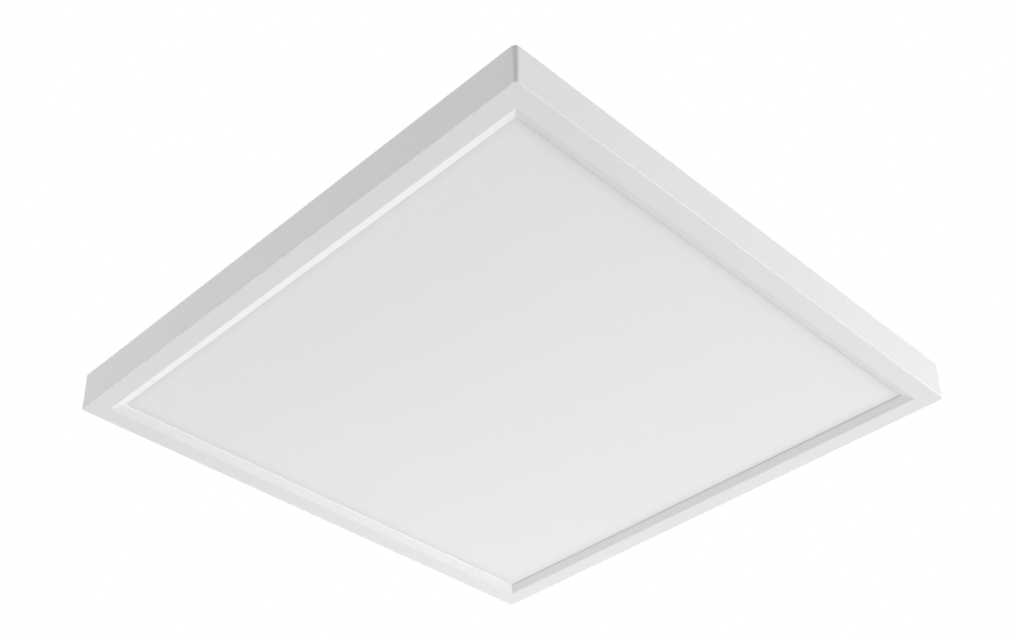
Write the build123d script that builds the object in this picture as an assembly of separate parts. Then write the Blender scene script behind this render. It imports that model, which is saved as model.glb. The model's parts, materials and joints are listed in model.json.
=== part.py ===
from build123d import *
from math import atan2, degrees, sqrt
import os

# A square slim ceiling light, edge lit, that snaps onto a pressed ceiling bracket.
# The origin is the middle of the ceiling plane. +Z points up into the ceiling, so the light
# hangs below the origin and its face looks down. All sizes are millimetres.

# Front frame: one casting with drafted walls, a flat bezel and a sloping inner bevel
SIDE = 300.0
HEIGHT = 20.0
WALL_DRAFT = 0.8
CORNER_RADIUS = 2.4
FRONT_EDGE_RADIUS = 0.9
WALL = 1.8
BEZEL_WIDTH = 10.1
BEZEL_THICKNESS = 1.8
BEVEL_WIDTH = 4.7
BEVEL_DEPTH = 2.0
LIP_HEIGHT = 0.6
LIP_RELIEF = 0.9
CHANNEL_WIDTH = 4.8
RIB_THICKNESS = 1.6
INSIDE_RADIUS = 1.0

# Optical stack, from the front
DIFFUSER_THICKNESS = 1.5
GUIDE_THICKNESS = 3.0
REFLECTOR_THICKNESS = 0.3
FOAM_THICKNESS = 0.8
FOAM_INSET = 1.0
SHEET_CLEARANCE = 0.4

# LED boards on the left and right faces of the rib
TAPE_THICKNESS = 0.2
BOARD_THICKNESS = 1.2
BOARD_CLEARANCE = 0.1
BOARD_END_GAP = 2.0
CHIP_LENGTH = 3.5
CHIP_WIDTH = 2.6
CHIP_HEIGHT = 0.8
CHIP_GAP = 0.3
CHIP_COUNT = 24
CHIP_ROW_END = 8.0

# Back plate, pressed from sheet
PLATE_THICKNESS = 0.8
PLATE_CLEARANCE = 0.3
BEAD_LENGTH = 210.0
BEAD_WIDTH = 12.0
BEAD_CORNER = 4.0
BEAD_HEIGHT = 1.2
BEAD_TAPER = 45.0
BEAD_COUNT = 3
BEAD_PITCH = 36.0
BEAD_FIRST = 46.0

# Small round parts are drawn with this many sides
ROUND_SIDES = 10

# Screws, with plain shanks
SCREW_RADIUS = 1.25
SCREW_HEAD_RADIUS = 2.2
SCREW_HEAD_HEIGHT = 1.5
SCREW_HEAD_CHAMFER = 0.5
SCREW_LENGTH = 5.0
SCREW_CLEARANCE = 0.1
PILOT_CLEARANCE = 0.04
PILOT_END_ROOM = 0.5
SCREW_EDGE = 2.5
SCREWS_PER_SIDE = 2
SCREW_END = 60.0
BOSS_LENGTH = 6.0

# Ceiling bracket, pressed from strip, with a tongue at each end
BRACKET_LENGTH = 204.0
BRACKET_WIDTH = 36.0
BRACKET_THICKNESS = 1.2
BRACKET_DROP = 5.8
BRACKET_BEND = 1.0
TONGUE_LENGTH = 12.0
TONGUE_WIDTH = 26.0
TONGUE_CORNER = 2.0
JOGGLE_RUN = 4.0
FLANGE_HEIGHT = 4.5
FLANGE_END = 8.0
SLOT_SPACING = 120.0
SLOT_LENGTH = 18.0
SLOT_WIDTH = 5.0
CABLE_HOLE_RADIUS = 9.0

# Grommet in the bracket's cable hole
GROMMET_BORE_RADIUS = 6.0
GROMMET_FLANGE = 2.2
GROMMET_FLANGE_THICKNESS = 1.6
GROMMET_CLEARANCE = 0.05

# Spring clips that hook over the bracket's tongues
CLIP_THICKNESS = 0.5
CLIP_WIDTH = 20.0
CLIP_BEND = 0.6
CLIP_FOOT = 18.0
CLIP_OVERHANG = 1.8
CLIP_LEG_GAP = 2.4
CLIP_GAP = 0.4
CLIP_FLARE_RUN = 1.6
CLIP_TOP_CLEARANCE = 1.0
RIVET_RADIUS = 2.0
RIVET_HEAD_RADIUS = 4.0
RIVET_HEAD_HEIGHT = 1.1
RIVET_END = 8.0
RIVET_CLEARANCE = 0.05

# Driver: a two-part case with its circuit inside
DRIVER_LENGTH = 100.0
DRIVER_WIDTH = 42.0
DRIVER_EDGE_GAP = 7.2
DRIVER_TOP_CLEARANCE = 1.5
DRIVER_WALL = 1.4
DRIVER_FLOOR = 1.0
DRIVER_CORNER = 3.0
DRIVER_CHAMFER = 0.7
LAP_HEIGHT = 1.0
LAP_CLEARANCE = 0.1
EAR_LENGTH = 8.0
EAR_WIDTH = 11.0
EAR_THICKNESS = 1.8
CIRCUIT_THICKNESS = 1.0
CIRCUIT_CLEARANCE = 0.6
STANDOFF_HEIGHT = 0.5
STANDOFF_SIZE = 4.0
COMPONENT_CLEARANCE = 0.3
COMPONENT_GAP = 3.0
CORE_LENGTH = 17.0
CORE_WIDTH = 16.0
CORE_LIMB = 2.6
CORE_LEG = 4.4
CORE_SIDE_ROOM = 1.2
WINDING_CLEARANCE = 0.05
CAPACITOR_LENGTH = 16.0
CAPACITOR_COUNT = 2
INDUCTOR_RADIUS = 4.5
INDUCTOR_WAIST = 3.2
INDUCTOR_FLANGE = 1.2
RECTIFIER_LENGTH = 8.0
RECTIFIER_WIDTH = 6.4
RECTIFIER_HEIGHT = 2.4
CONTROLLER_LENGTH = 4.9
CONTROLLER_WIDTH = 3.9
CONTROLLER_HEIGHT = 1.6

# Push-in terminal block with a release button over each pole
TERMINAL_GAP = 28.0
TERMINAL_DEPTH = 18.0
TERMINAL_TOP_CLEARANCE = 2.9
TERMINAL_BASE = 1.2
TERMINAL_WALL = 1.6
TERMINAL_ROOF = 1.6
TERMINAL_CHAMFER = 0.5
POLE_PITCH = 13.0
POLE_WIDTH = 6.6
ENTRY_SIZE = 3.2
ENTRY_TAPER = 0.7
BUTTON_WIDTH = 3.6
BUTTON_DEPTH = 5.0
BUTTON_RISE = 1.6
BUTTON_COLLAR = 0.9
BUTTON_COLLAR_HEIGHT = 1.0
BUTTON_CLEARANCE = 0.3
BUTTON_FRONT = 3.4
CONTACT_THICKNESS = 0.8
CONTACT_SIDE_ROOM = 0.5
TERMINAL_SPRING_THICKNESS = 0.4
TERMINAL_SPRING_BEND = 0.5
TERMINAL_SPRING_TIP = 1.2
SPRING_CLEARANCE = 0.05

# Leads, drawn as many-sided rods
LEAD_SIDES = 6
LED_LEAD_RADIUS = 0.7
SUPPLY_LEAD_RADIUS = 1.0
LEAD_PITCH = 2.6
LEAD_DROP_BEND = 3.5
LEAD_CLEARANCE = 0.1
LEAD_INSIDE = 3.0
LEAD_DROP_END = 7.3
LEAD_GROMMET_RADIUS = 3.0
LEAD_GROMMET_FLANGE = 1.0
LEAD_GROMMET_HEIGHT = 1.0
LEAD_GROMMET_CLEARANCE = 0.3
LEAD_CLIP_LENGTH = 5.0
LEAD_CLIP_SIDE = 1.4
LEAD_CLIP_FOOT = 2.0
LEAD_CLIP_FOOT_HEIGHT = 1.0

# Heights of the stack, worked up from the front face
CEILING = 0.0
FRONT = CEILING - HEIGHT
BEZEL_BACK = FRONT + BEZEL_THICKNESS
BEVEL_TOP = FRONT + BEVEL_DEPTH
SEAT = BEVEL_TOP + LIP_HEIGHT
DIFFUSER_BACK = SEAT + DIFFUSER_THICKNESS
GUIDE_BACK = DIFFUSER_BACK + GUIDE_THICKNESS
REFLECTOR_BACK = GUIDE_BACK + REFLECTOR_THICKNESS
PLATE_FRONT = REFLECTOR_BACK + FOAM_THICKNESS
PLATE_BACK = PLATE_FRONT + PLATE_THICKNESS

# Insets from the outside of the frame, which is widest at its back
MOUTH_INSET = WALL_DRAFT + BEZEL_WIDTH
WINDOW_INSET = MOUTH_INSET + BEVEL_WIDTH
RIB_OUTER = WALL + CHANNEL_WIDTH
RIB_INNER = RIB_OUTER + RIB_THICKNESS
PLATE_INSET = WALL + PLATE_CLEARANCE
SCREW_INSET = PLATE_INSET + SCREW_EDGE

# Half widths inside the rib
RIB_FACE = SIDE / 2 - RIB_INNER
BOARD_BACK = RIB_FACE - TAPE_THICKNESS
BOARD_FACE = BOARD_BACK - BOARD_THICKNESS
GUIDE_HALF_X = BOARD_FACE - CHIP_HEIGHT - CHIP_GAP
GUIDE_HALF_Y = RIB_FACE - SHEET_CLEARANCE

# Heights and places in the wiring space behind the back plate
TONGUE_TIP = BRACKET_LENGTH / 2
TONGUE_TOP = CEILING - BRACKET_DROP
CLIP_LEG_X = TONGUE_TIP + CLIP_LEG_GAP
RIVET_X = CLIP_LEG_X + CLIP_FOOT - RIVET_END
FLOOR_TOP = PLATE_BACK + DRIVER_FLOOR
CIRCUIT_BOTTOM = FLOOR_TOP + STANDOFF_HEIGHT
CIRCUIT_TOP = CIRCUIT_BOTTOM + CIRCUIT_THICKNESS
DRIVER_TOP = CEILING - DRIVER_TOP_CLEARANCE
COMPONENT_TOP = DRIVER_TOP - DRIVER_FLOOR - COMPONENT_CLEARANCE
COMPONENT_ROOM = COMPONENT_TOP - CIRCUIT_TOP
LEAD_Z = CIRCUIT_TOP + SUPPLY_LEAD_RADIUS
DRIVER_END = DRIVER_LENGTH / 2
DRIVER_Y = SIDE / 2 - WALL - DRIVER_EDGE_GAP - DRIVER_WIDTH / 2
DRIVER_FRONT = DRIVER_Y - DRIVER_WIDTH / 2
EAR_X = DRIVER_END + EAR_LENGTH / 2
TERMINAL_Y = DRIVER_FRONT - TERMINAL_GAP - TERMINAL_DEPTH / 2
TERMINAL_WIDTH = POLE_PITCH + POLE_WIDTH + 2 * TERMINAL_WALL
TERMINAL_TOP = CEILING - TERMINAL_TOP_CLEARANCE
TERMINAL_FLOOR = PLATE_BACK + TERMINAL_BASE
POCKET_TOP = TERMINAL_TOP - TERMINAL_ROOF
POCKET_FRONT = -TERMINAL_DEPTH / 2 + TERMINAL_WALL
POCKET_REAR = TERMINAL_DEPTH / 2 - TERMINAL_WALL
BUTTON_Y = POCKET_FRONT + BUTTON_FRONT
CONTACT_TOP = TERMINAL_FLOOR + CONTACT_THICKNESS
LEAD_DROP_X = BOARD_FACE - LED_LEAD_RADIUS - LEAD_CLEARANCE
LEAD_DROP_Y = RIB_FACE - LEAD_DROP_END
LEAD_END_Z = (DIFFUSER_BACK + GUIDE_BACK) / 2
NOTCH_X = LEAD_DROP_X - LED_LEAD_RADIUS - SHEET_CLEARANCE
NOTCH_Y = LEAD_DROP_Y - LEAD_PITCH / 2 - LED_LEAD_RADIUS - SHEET_CLEARANCE


def slab(face, low, high):
    """A flat outline raised between two heights."""
    return extrude(Pos(0, 0, low) * face, high - low)


def block(x_range, y_range, z_range):
    """A box between pairs of coordinates."""
    low = Vector(x_range[0], y_range[0], z_range[0])
    high = Vector(x_range[1], y_range[1], z_range[1])
    size = high - low
    middle = (low + high) / 2
    return Pos(*middle) * Box(*size)


def disc(radius, low, high):
    """An upright cylinder between two heights."""
    return slab(Circle(radius), low, high)


def square(inset):
    """The frame's square outline, drawn in from its outside."""
    return Rectangle(SIDE - 2 * inset, SIDE - 2 * inset)


def rounded_square(inset, radius):
    return fillet(square(inset).vertices(), radius)


def bent_sheet(points, bend, thickness, width):
    """A strip bent along points in X and Z, thickened to the right of the way they run."""
    line = FilletPolyline(*points, radius=bend)
    section = make_face(offset(line, amount=thickness, side=Side.RIGHT))
    return extrude(Plane.XZ * section, width / 2, both=True)


def headed_pin(head_radius, head_height, head_chamfer, radius, seat, low):
    """A screw or rivet: a head that sits at a height, and a shank below it."""
    head = slab(RegularPolygon(head_radius, ROUND_SIDES), seat, seat + head_height)
    head = chamfer(head.edges().group_by(Axis.Z)[-1], head_chamfer)
    return head + slab(RegularPolygon(radius, ROUND_SIDES), low, seat)


def pan_screw(seat, length):
    """A pan-head screw whose head sits at a height, with its shank below."""
    return headed_pin(
        SCREW_HEAD_RADIUS, SCREW_HEAD_HEIGHT, SCREW_HEAD_CHAMFER, SCREW_RADIUS, seat, seat - length
    )


def screw_hole(low, high):
    """The clearance hole for a screw's shank."""
    return disc(SCREW_RADIUS + SCREW_CLEARANCE, low, high)


def plate_screw_places():
    """The screws round the back plate's edge, each with the frame's wall on its +Y side."""
    step = (SIDE - 2 * SCREW_END) / (SCREWS_PER_SIDE - 1)
    first = -(SCREWS_PER_SIDE - 1) / 2 * step
    reach = SIDE / 2 - SCREW_INSET
    return [
        Rot(0, 0, 90 * turn) * Pos(first + index * step, reach, 0)
        for turn in range(4)
        for index in range(SCREWS_PER_SIDE)
    ]


def rivet_places():
    """One rivet in the foot of each spring clip."""
    return [Pos(side * RIVET_X, 0, 0) for side in (-1, 1)]


def ear_places():
    """The driver's two fixing ears."""
    return [Pos(side * EAR_X, DRIVER_Y, 0) for side in (-1, 1)]


def lead_drop_places():
    """Where each pair of LED leads goes down through the back plate."""
    return [Pos(side * LEAD_DROP_X, LEAD_DROP_Y, 0) for side in (-1, 1)]


def front_window():
    """The frame's opening: the bevel's slope, then a lip that falls back to the diffuser."""
    mouth = Pos(0, 0, FRONT) * square(MOUTH_INSET)
    throat = Pos(0, 0, BEVEL_TOP) * square(WINDOW_INSET)
    ledge = Pos(0, 0, SEAT) * square(WINDOW_INSET - LIP_RELIEF)
    return loft([mouth, throat]) + loft([throat, ledge])


def screw_boss():
    """A screw boss that bridges the channel from the outer wall to the rib."""
    middle = SCREW_INSET - (WALL + RIB_OUTER) / 2
    outline = Pos(0, middle) * Rectangle(BOSS_LENGTH, RIB_OUTER - WALL)
    return slab(outline, BEZEL_BACK, PLATE_FRONT)


def front_frame():
    draft = degrees(atan2(WALL_DRAFT, HEIGHT))
    back = Pos(0, 0, CEILING) * rounded_square(0, CORNER_RADIUS)
    frame = extrude(back, HEIGHT, dir=(0, 0, -1), taper=draft)
    frame = fillet(frame.faces().sort_by(Axis.Z)[0].edges(), FRONT_EDGE_RADIUS)
    frame -= slab(rounded_square(WALL, INSIDE_RADIUS), BEZEL_BACK, CEILING)
    frame += slab(square(RIB_OUTER), BEZEL_BACK, PLATE_FRONT)
    frame += [place * screw_boss() for place in plate_screw_places()]
    frame -= slab(square(RIB_INNER), SEAT, PLATE_FRONT)
    frame -= front_window()
    pilot_end = PLATE_BACK - SCREW_LENGTH - PILOT_END_ROOM
    pilot = disc(SCREW_RADIUS + PILOT_CLEARANCE, pilot_end, PLATE_FRONT)
    frame -= [place * pilot for place in plate_screw_places()]
    return frame


def diffuser():
    return slab(square(RIB_INNER + SHEET_CLEARANCE), SEAT, DIFFUSER_BACK)


def guide_outline(inset):
    """The light guide's outline, notched at two corners for the LED leads."""
    outline = Rectangle(2 * (GUIDE_HALF_X - inset), 2 * (GUIDE_HALF_Y - inset))
    depth = GUIDE_HALF_Y - NOTCH_Y
    width = GUIDE_HALF_X - NOTCH_X
    notch = Rectangle(2 * width, 2 * depth)
    return outline - [Pos(side * GUIDE_HALF_X, GUIDE_HALF_Y) * notch for side in (-1, 1)]


def light_guide():
    return slab(guide_outline(0), DIFFUSER_BACK, GUIDE_BACK)


def reflector_sheet():
    return slab(guide_outline(0), GUIDE_BACK, REFLECTOR_BACK)


def foam_pad():
    return slab(guide_outline(FOAM_INSET), REFLECTOR_BACK, PLATE_FRONT)


def on_side(side, near, far, half_length, low, high):
    """A straight bar along one edge of the light, between two distances from the middle."""
    ends = sorted((side * near, side * far))
    return block(ends, (-half_length, half_length), (low, high))


def thermal_tape(side):
    low = DIFFUSER_BACK + BOARD_CLEARANCE
    high = PLATE_FRONT - BOARD_CLEARANCE
    return on_side(side, BOARD_BACK, RIB_FACE, RIB_FACE - BOARD_END_GAP, low, high)


def led_board(side):
    low = DIFFUSER_BACK + BOARD_CLEARANCE
    high = PLATE_FRONT - BOARD_CLEARANCE
    return on_side(side, BOARD_FACE, BOARD_BACK, RIB_FACE - BOARD_END_GAP, low, high)


def led_chips(side):
    row = SIDE - 2 * (WINDOW_INSET + CHIP_ROW_END)
    step = row / (CHIP_COUNT - 1)
    middle = (DIFFUSER_BACK + GUIDE_BACK) / 2
    low = middle - CHIP_WIDTH / 2
    chip = on_side(side, BOARD_FACE - CHIP_HEIGHT, BOARD_FACE, CHIP_LENGTH / 2, low, low + CHIP_WIDTH)
    chips = [Pos(0, index * step - row / 2, 0) * chip for index in range(CHIP_COUNT)]
    return Compound(children=chips)


def bead():
    """One stiffening bead of the back plate, along X."""
    outline = Rectangle(BEAD_LENGTH, BEAD_WIDTH)
    outline = chamfer(outline.vertices(), BEAD_CORNER)
    return extrude(Pos(0, 0, PLATE_BACK) * outline, BEAD_HEIGHT, taper=BEAD_TAPER)


def back_plate():
    plate = slab(rounded_square(PLATE_INSET, INSIDE_RADIUS), PLATE_FRONT, PLATE_BACK)
    for index in range(BEAD_COUNT):
        raised = Pos(0, -BEAD_FIRST - index * BEAD_PITCH, 0) * bead()
        plate += raised
        plate -= Pos(0, 0, -PLATE_THICKNESS) * raised
    screw_places = plate_screw_places() + ear_places() + [terminal_place()]
    plate -= [place * screw_hole(PLATE_FRONT, PLATE_BACK) for place in screw_places]
    rivet_hole = disc(RIVET_RADIUS + RIVET_CLEARANCE, PLATE_FRONT, PLATE_BACK)
    plate -= [place * rivet_hole for place in rivet_places()]
    grommet_hole = disc(LEAD_GROMMET_RADIUS + GROMMET_CLEARANCE, PLATE_FRONT, PLATE_BACK)
    plate -= [place * grommet_hole for place in lead_drop_places()]
    return plate


def back_plate_screws():
    screw = pan_screw(PLATE_BACK, SCREW_LENGTH)
    return Compound(children=[place * screw for place in plate_screw_places()])


def ceiling_bracket():
    joggle_top = TONGUE_TIP - TONGUE_LENGTH - JOGGLE_RUN
    joggle_foot = TONGUE_TIP - TONGUE_LENGTH
    points = [
        (-TONGUE_TIP, TONGUE_TOP),
        (-joggle_foot, TONGUE_TOP),
        (-joggle_top, CEILING),
        (joggle_top, CEILING),
        (joggle_foot, TONGUE_TOP),
        (TONGUE_TIP, TONGUE_TOP),
    ]
    strip = bent_sheet(points, BRACKET_BEND, BRACKET_THICKNESS, BRACKET_WIDTH)
    half = BRACKET_WIDTH / 2
    channel = [
        (-half, CEILING - FLANGE_HEIGHT),
        (-half, CEILING),
        (half, CEILING),
        (half, CEILING - FLANGE_HEIGHT),
    ]
    flange_length = 2 * (joggle_top - FLANGE_END)
    flat = slab(Rectangle(flange_length, BRACKET_WIDTH), CEILING - BRACKET_THICKNESS, CEILING)
    bend = BRACKET_BEND + BRACKET_THICKNESS
    flanged = Rot(0, 0, 90) * bent_sheet(channel, bend, BRACKET_THICKNESS, flange_length)
    bracket = strip - flat + flanged
    shoulder = (BRACKET_WIDTH - TONGUE_WIDTH) / 2
    for side in (-1, 1):
        for edge in (-1, 1):
            place = Pos(side * TONGUE_TIP, edge * (TONGUE_WIDTH + shoulder) / 2)
            corner = place * Rectangle(2 * TONGUE_LENGTH, shoulder)
            bracket -= slab(corner, TONGUE_TOP - BRACKET_THICKNESS, TONGUE_TOP)
    tip_edges = bracket.edges().filter_by(Axis.Z).group_by(Axis.X)
    bracket = chamfer(tip_edges[0] + tip_edges[-1], TONGUE_CORNER)
    slot = slab(SlotOverall(SLOT_LENGTH, SLOT_WIDTH), CEILING - BRACKET_THICKNESS, CEILING)
    bracket -= [Pos(side * SLOT_SPACING / 2, 0, 0) * slot for side in (-1, 1)]
    return bracket - disc(CABLE_HOLE_RADIUS, CEILING - BRACKET_THICKNESS, CEILING)


def bracket_grommet():
    bottom = CEILING - BRACKET_THICKNESS
    flange_low = bottom - GROMMET_FLANGE_THICKNESS
    grommet = disc(CABLE_HOLE_RADIUS - GROMMET_CLEARANCE, flange_low, CEILING)
    flange = disc(CABLE_HOLE_RADIUS + GROMMET_FLANGE, flange_low, bottom)
    return grommet + flange - disc(GROMMET_BORE_RADIUS, flange_low, CEILING)


def spring_clip(side):
    """A leaf clip: a riveted foot, an upright leg, a V nose over the tongue and a lead-in flare."""
    nose_x = TONGUE_TIP - CLIP_OVERHANG
    nose_z = TONGUE_TOP + CLIP_GAP + CLIP_OVERHANG
    points = [
        (CLIP_LEG_X + CLIP_FOOT, PLATE_BACK),
        (CLIP_LEG_X, PLATE_BACK),
        (CLIP_LEG_X, nose_z - (CLIP_LEG_X - nose_x)),
        (nose_x, nose_z),
        (nose_x + CLIP_FLARE_RUN, CEILING - CLIP_TOP_CLEARANCE),
    ]
    clip = bent_sheet(points, CLIP_BEND, CLIP_THICKNESS, CLIP_WIDTH)
    hole = disc(RIVET_RADIUS + RIVET_CLEARANCE, PLATE_BACK, PLATE_BACK + CLIP_THICKNESS)
    clip -= Pos(RIVET_X, 0, 0) * hole
    return clip if side > 0 else mirror(clip, Plane.YZ)


def clip_rivets():
    seat = PLATE_BACK + CLIP_THICKNESS
    rivet = headed_pin(
        RIVET_HEAD_RADIUS, RIVET_HEAD_HEIGHT, RIVET_HEAD_HEIGHT / 2, RIVET_RADIUS, seat, PLATE_FRONT
    )
    return Compound(children=[place * rivet for place in rivet_places()])


def driver_outline(inset):
    """The driver case's outline in plan, drawn in from its outside."""
    outline = Rectangle(DRIVER_LENGTH - 2 * inset, DRIVER_WIDTH - 2 * inset)
    corner = DRIVER_CORNER - inset * (2 - sqrt(2))
    return Pos(0, DRIVER_Y) * chamfer(outline.vertices(), corner)


def driver_lead_holes():
    """The square holes for the leads, half in each part of the case."""
    depth = 4 * DRIVER_WALL
    supply = 2 * (SUPPLY_LEAD_RADIUS + LEAD_CLEARANCE)
    output = 2 * (LED_LEAD_RADIUS + LEAD_CLEARANCE)
    holes = []
    for side in (-1, 1):
        holes.append(Pos(pole_x(side), DRIVER_FRONT, LEAD_Z) * Box(supply, depth, supply))
        for shift in (-1, 1):
            hole_y = LEAD_DROP_Y + shift * LEAD_PITCH / 2
            holes.append(Pos(side * DRIVER_END, hole_y, LEAD_Z) * Box(depth, output, output))
    return holes


def driver_base():
    base = slab(driver_outline(0), PLATE_BACK, LEAD_Z)
    base += slab(driver_outline(DRIVER_WALL / 2), LEAD_Z, LEAD_Z + LAP_HEIGHT)
    base -= slab(driver_outline(DRIVER_WALL), FLOOR_TOP, LEAD_Z + LAP_HEIGHT)
    post_x = DRIVER_END - DRIVER_WALL - STANDOFF_SIZE
    post_y = DRIVER_WIDTH / 2 - DRIVER_WALL - STANDOFF_SIZE
    post = slab(Rectangle(STANDOFF_SIZE, STANDOFF_SIZE), FLOOR_TOP, CIRCUIT_BOTTOM)
    base += [
        Pos(side * post_x, DRIVER_Y + end * post_y, 0) * post for side in (-1, 1) for end in (-1, 1)
    ]
    ear = slab(Rectangle(EAR_LENGTH, EAR_WIDTH), PLATE_BACK, PLATE_BACK + EAR_THICKNESS)
    base += [place * ear for place in ear_places()]
    hole = screw_hole(PLATE_BACK, PLATE_BACK + EAR_THICKNESS)
    base -= [place * hole for place in ear_places()]
    return base - driver_lead_holes()


def driver_cover():
    cover = slab(driver_outline(0), LEAD_Z, DRIVER_TOP)
    cover = chamfer(cover.faces().sort_by(Axis.Z)[-1].edges(), DRIVER_CHAMFER)
    lap_room = slab(
        driver_outline(DRIVER_WALL / 2 - LAP_CLEARANCE), LEAD_Z, LEAD_Z + LAP_HEIGHT + LAP_CLEARANCE
    )
    inside = slab(driver_outline(DRIVER_WALL), LEAD_Z, DRIVER_TOP - DRIVER_FLOOR)
    return cover - lap_room - inside - driver_lead_holes()


def driver_board():
    return slab(driver_outline(DRIVER_WALL + CIRCUIT_CLEARANCE), CIRCUIT_BOTTOM, CIRCUIT_TOP)


def transformer_place():
    """The transformer sits in the middle of the driver's circuit board."""
    return Pos(0, DRIVER_Y, 0)


def transformer_core():
    low = CIRCUIT_TOP + CORE_SIDE_ROOM
    high = COMPONENT_TOP - CORE_SIDE_ROOM
    outline = Rectangle(CORE_LENGTH, CORE_WIDTH)
    window_length = (CORE_LENGTH - 2 * CORE_LIMB - CORE_LEG) / 2
    window = Rectangle(window_length, CORE_WIDTH - 2 * CORE_LIMB)
    window_x = (CORE_LEG + window_length) / 2
    outline -= [Pos(side * window_x, 0) * window for side in (-1, 1)]
    return transformer_place() * slab(outline, low, high)


def transformer_winding():
    window_length = (CORE_LENGTH - 2 * CORE_LIMB - CORE_LEG) / 2
    width = CORE_LEG + 2 * (window_length - WINDING_CLEARANCE)
    length = CORE_WIDTH - 2 * (CORE_LIMB + WINDING_CLEARANCE)
    winding = slab(Rectangle(width, length), CIRCUIT_TOP, COMPONENT_TOP)
    corners = winding.edges().filter_by(Axis.Y)
    winding = fillet(corners, CORE_SIDE_ROOM / 2)
    leg = Rectangle(CORE_LEG + 2 * WINDING_CLEARANCE, length)
    low = CIRCUIT_TOP + CORE_SIDE_ROOM - WINDING_CLEARANCE
    high = COMPONENT_TOP - CORE_SIDE_ROOM + WINDING_CLEARANCE
    return transformer_place() * (winding - slab(leg, low, high))


def driver_capacitors():
    """Can capacitors lying on the board, side by side."""
    radius = COMPONENT_ROOM / 2
    end = Plane((0, 0, CIRCUIT_TOP + radius), x_dir=(0, 0, 1), z_dir=(1, 0, 0))
    can = extrude(end * RegularPolygon(radius, ROUND_SIDES), CAPACITOR_LENGTH / 2, both=True)
    first_x = CORE_LENGTH / 2 + COMPONENT_GAP + CAPACITOR_LENGTH / 2
    step = 2 * radius + COMPONENT_GAP
    cans = [
        transformer_place() * Pos(first_x, (index - (CAPACITOR_COUNT - 1) / 2) * step, 0) * can
        for index in range(CAPACITOR_COUNT)
    ]
    return Compound(children=cans)


def driver_inductor():
    """A drum core standing on the board."""
    outside = RegularPolygon(INDUCTOR_RADIUS, ROUND_SIDES)
    drum = slab(outside, CIRCUIT_TOP, COMPONENT_TOP)
    groove = outside - RegularPolygon(INDUCTOR_WAIST, ROUND_SIDES)
    drum -= slab(groove, CIRCUIT_TOP + INDUCTOR_FLANGE, COMPONENT_TOP - INDUCTOR_FLANGE)
    return transformer_place() * Pos(-CORE_LENGTH / 2 - COMPONENT_GAP - INDUCTOR_RADIUS, 0, 0) * drum


def driver_chips():
    """The rectifier beside the capacitors and the controller beside the inductor."""
    rectifier = slab(
        Rectangle(RECTIFIER_LENGTH, RECTIFIER_WIDTH), CIRCUIT_TOP, CIRCUIT_TOP + RECTIFIER_HEIGHT
    )
    controller = slab(
        Rectangle(CONTROLLER_LENGTH, CONTROLLER_WIDTH), CIRCUIT_TOP, CIRCUIT_TOP + CONTROLLER_HEIGHT
    )
    rectifier_x = CORE_LENGTH / 2 + 2 * COMPONENT_GAP + CAPACITOR_LENGTH + RECTIFIER_LENGTH / 2
    controller_x = CORE_LENGTH / 2 + 2 * COMPONENT_GAP + 2 * INDUCTOR_RADIUS + CONTROLLER_LENGTH / 2
    chips = [
        transformer_place() * Pos(rectifier_x, 0, 0) * rectifier,
        transformer_place() * Pos(-controller_x, 0, 0) * controller,
    ]
    return Compound(children=chips)


def driver_screws():
    screw = pan_screw(PLATE_BACK + EAR_THICKNESS, EAR_THICKNESS + PLATE_THICKNESS)
    return Compound(children=[place * screw for place in ear_places()])


def terminal_place():
    """The middle of the terminal block: cable entries face -Y, leads to the driver leave at +Y."""
    return Pos(0, TERMINAL_Y, 0)


def pole_x(pole):
    """A pole's place across the terminal block: -1 is line, 1 is neutral."""
    return pole * POLE_PITCH / 2


def terminal_base():
    base = slab(Rectangle(TERMINAL_WIDTH, TERMINAL_DEPTH), PLATE_BACK, TERMINAL_FLOOR)
    return terminal_place() * (base - screw_hole(PLATE_BACK, TERMINAL_FLOOR))


def cable_entry():
    """A square wire entry through the front wall, widening outwards."""
    front = -TERMINAL_DEPTH / 2
    mouth_size = ENTRY_SIZE + 2 * ENTRY_TAPER
    mouth = Plane((0, front, LEAD_Z), z_dir=(0, 1, 0)) * Rectangle(mouth_size, mouth_size)
    throat = Plane((0, POCKET_FRONT, LEAD_Z), z_dir=(0, 1, 0)) * Rectangle(ENTRY_SIZE, ENTRY_SIZE)
    return loft([mouth, throat])


def terminal_housing():
    housing = slab(Rectangle(TERMINAL_WIDTH, TERMINAL_DEPTH), TERMINAL_FLOOR, TERMINAL_TOP)
    housing = chamfer(housing.faces().sort_by(Axis.Z)[-1].edges(), TERMINAL_CHAMFER)
    slot = Rectangle(BUTTON_WIDTH + 2 * BUTTON_CLEARANCE, BUTTON_DEPTH + 2 * BUTTON_CLEARANCE)
    lead_size = 2 * (SUPPLY_LEAD_RADIUS + LEAD_CLEARANCE)
    lead_hole = Box(lead_size, 2 * TERMINAL_WALL, lead_size)
    pocket = block(
        (-POLE_WIDTH / 2, POLE_WIDTH / 2), (POCKET_FRONT, POCKET_REAR), (TERMINAL_FLOOR, POCKET_TOP)
    )
    for pole in (-1, 1):
        place = Pos(pole_x(pole), 0, 0)
        housing -= place * pocket
        housing -= place * Pos(0, BUTTON_Y, 0) * slab(slot, POCKET_TOP, TERMINAL_TOP)
        housing -= place * cable_entry()
        housing -= place * Pos(0, POCKET_REAR + TERMINAL_WALL / 2, LEAD_Z) * lead_hole
    head_room = disc(SCREW_HEAD_RADIUS + PLATE_CLEARANCE, CONTACT_TOP, TERMINAL_TOP)
    housing -= screw_hole(TERMINAL_FLOOR, CONTACT_TOP)
    return terminal_place() * (housing - head_room)


def terminal_screw():
    screw = pan_screw(CONTACT_TOP, CONTACT_TOP - PLATE_FRONT)
    return terminal_place() * screw


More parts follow.
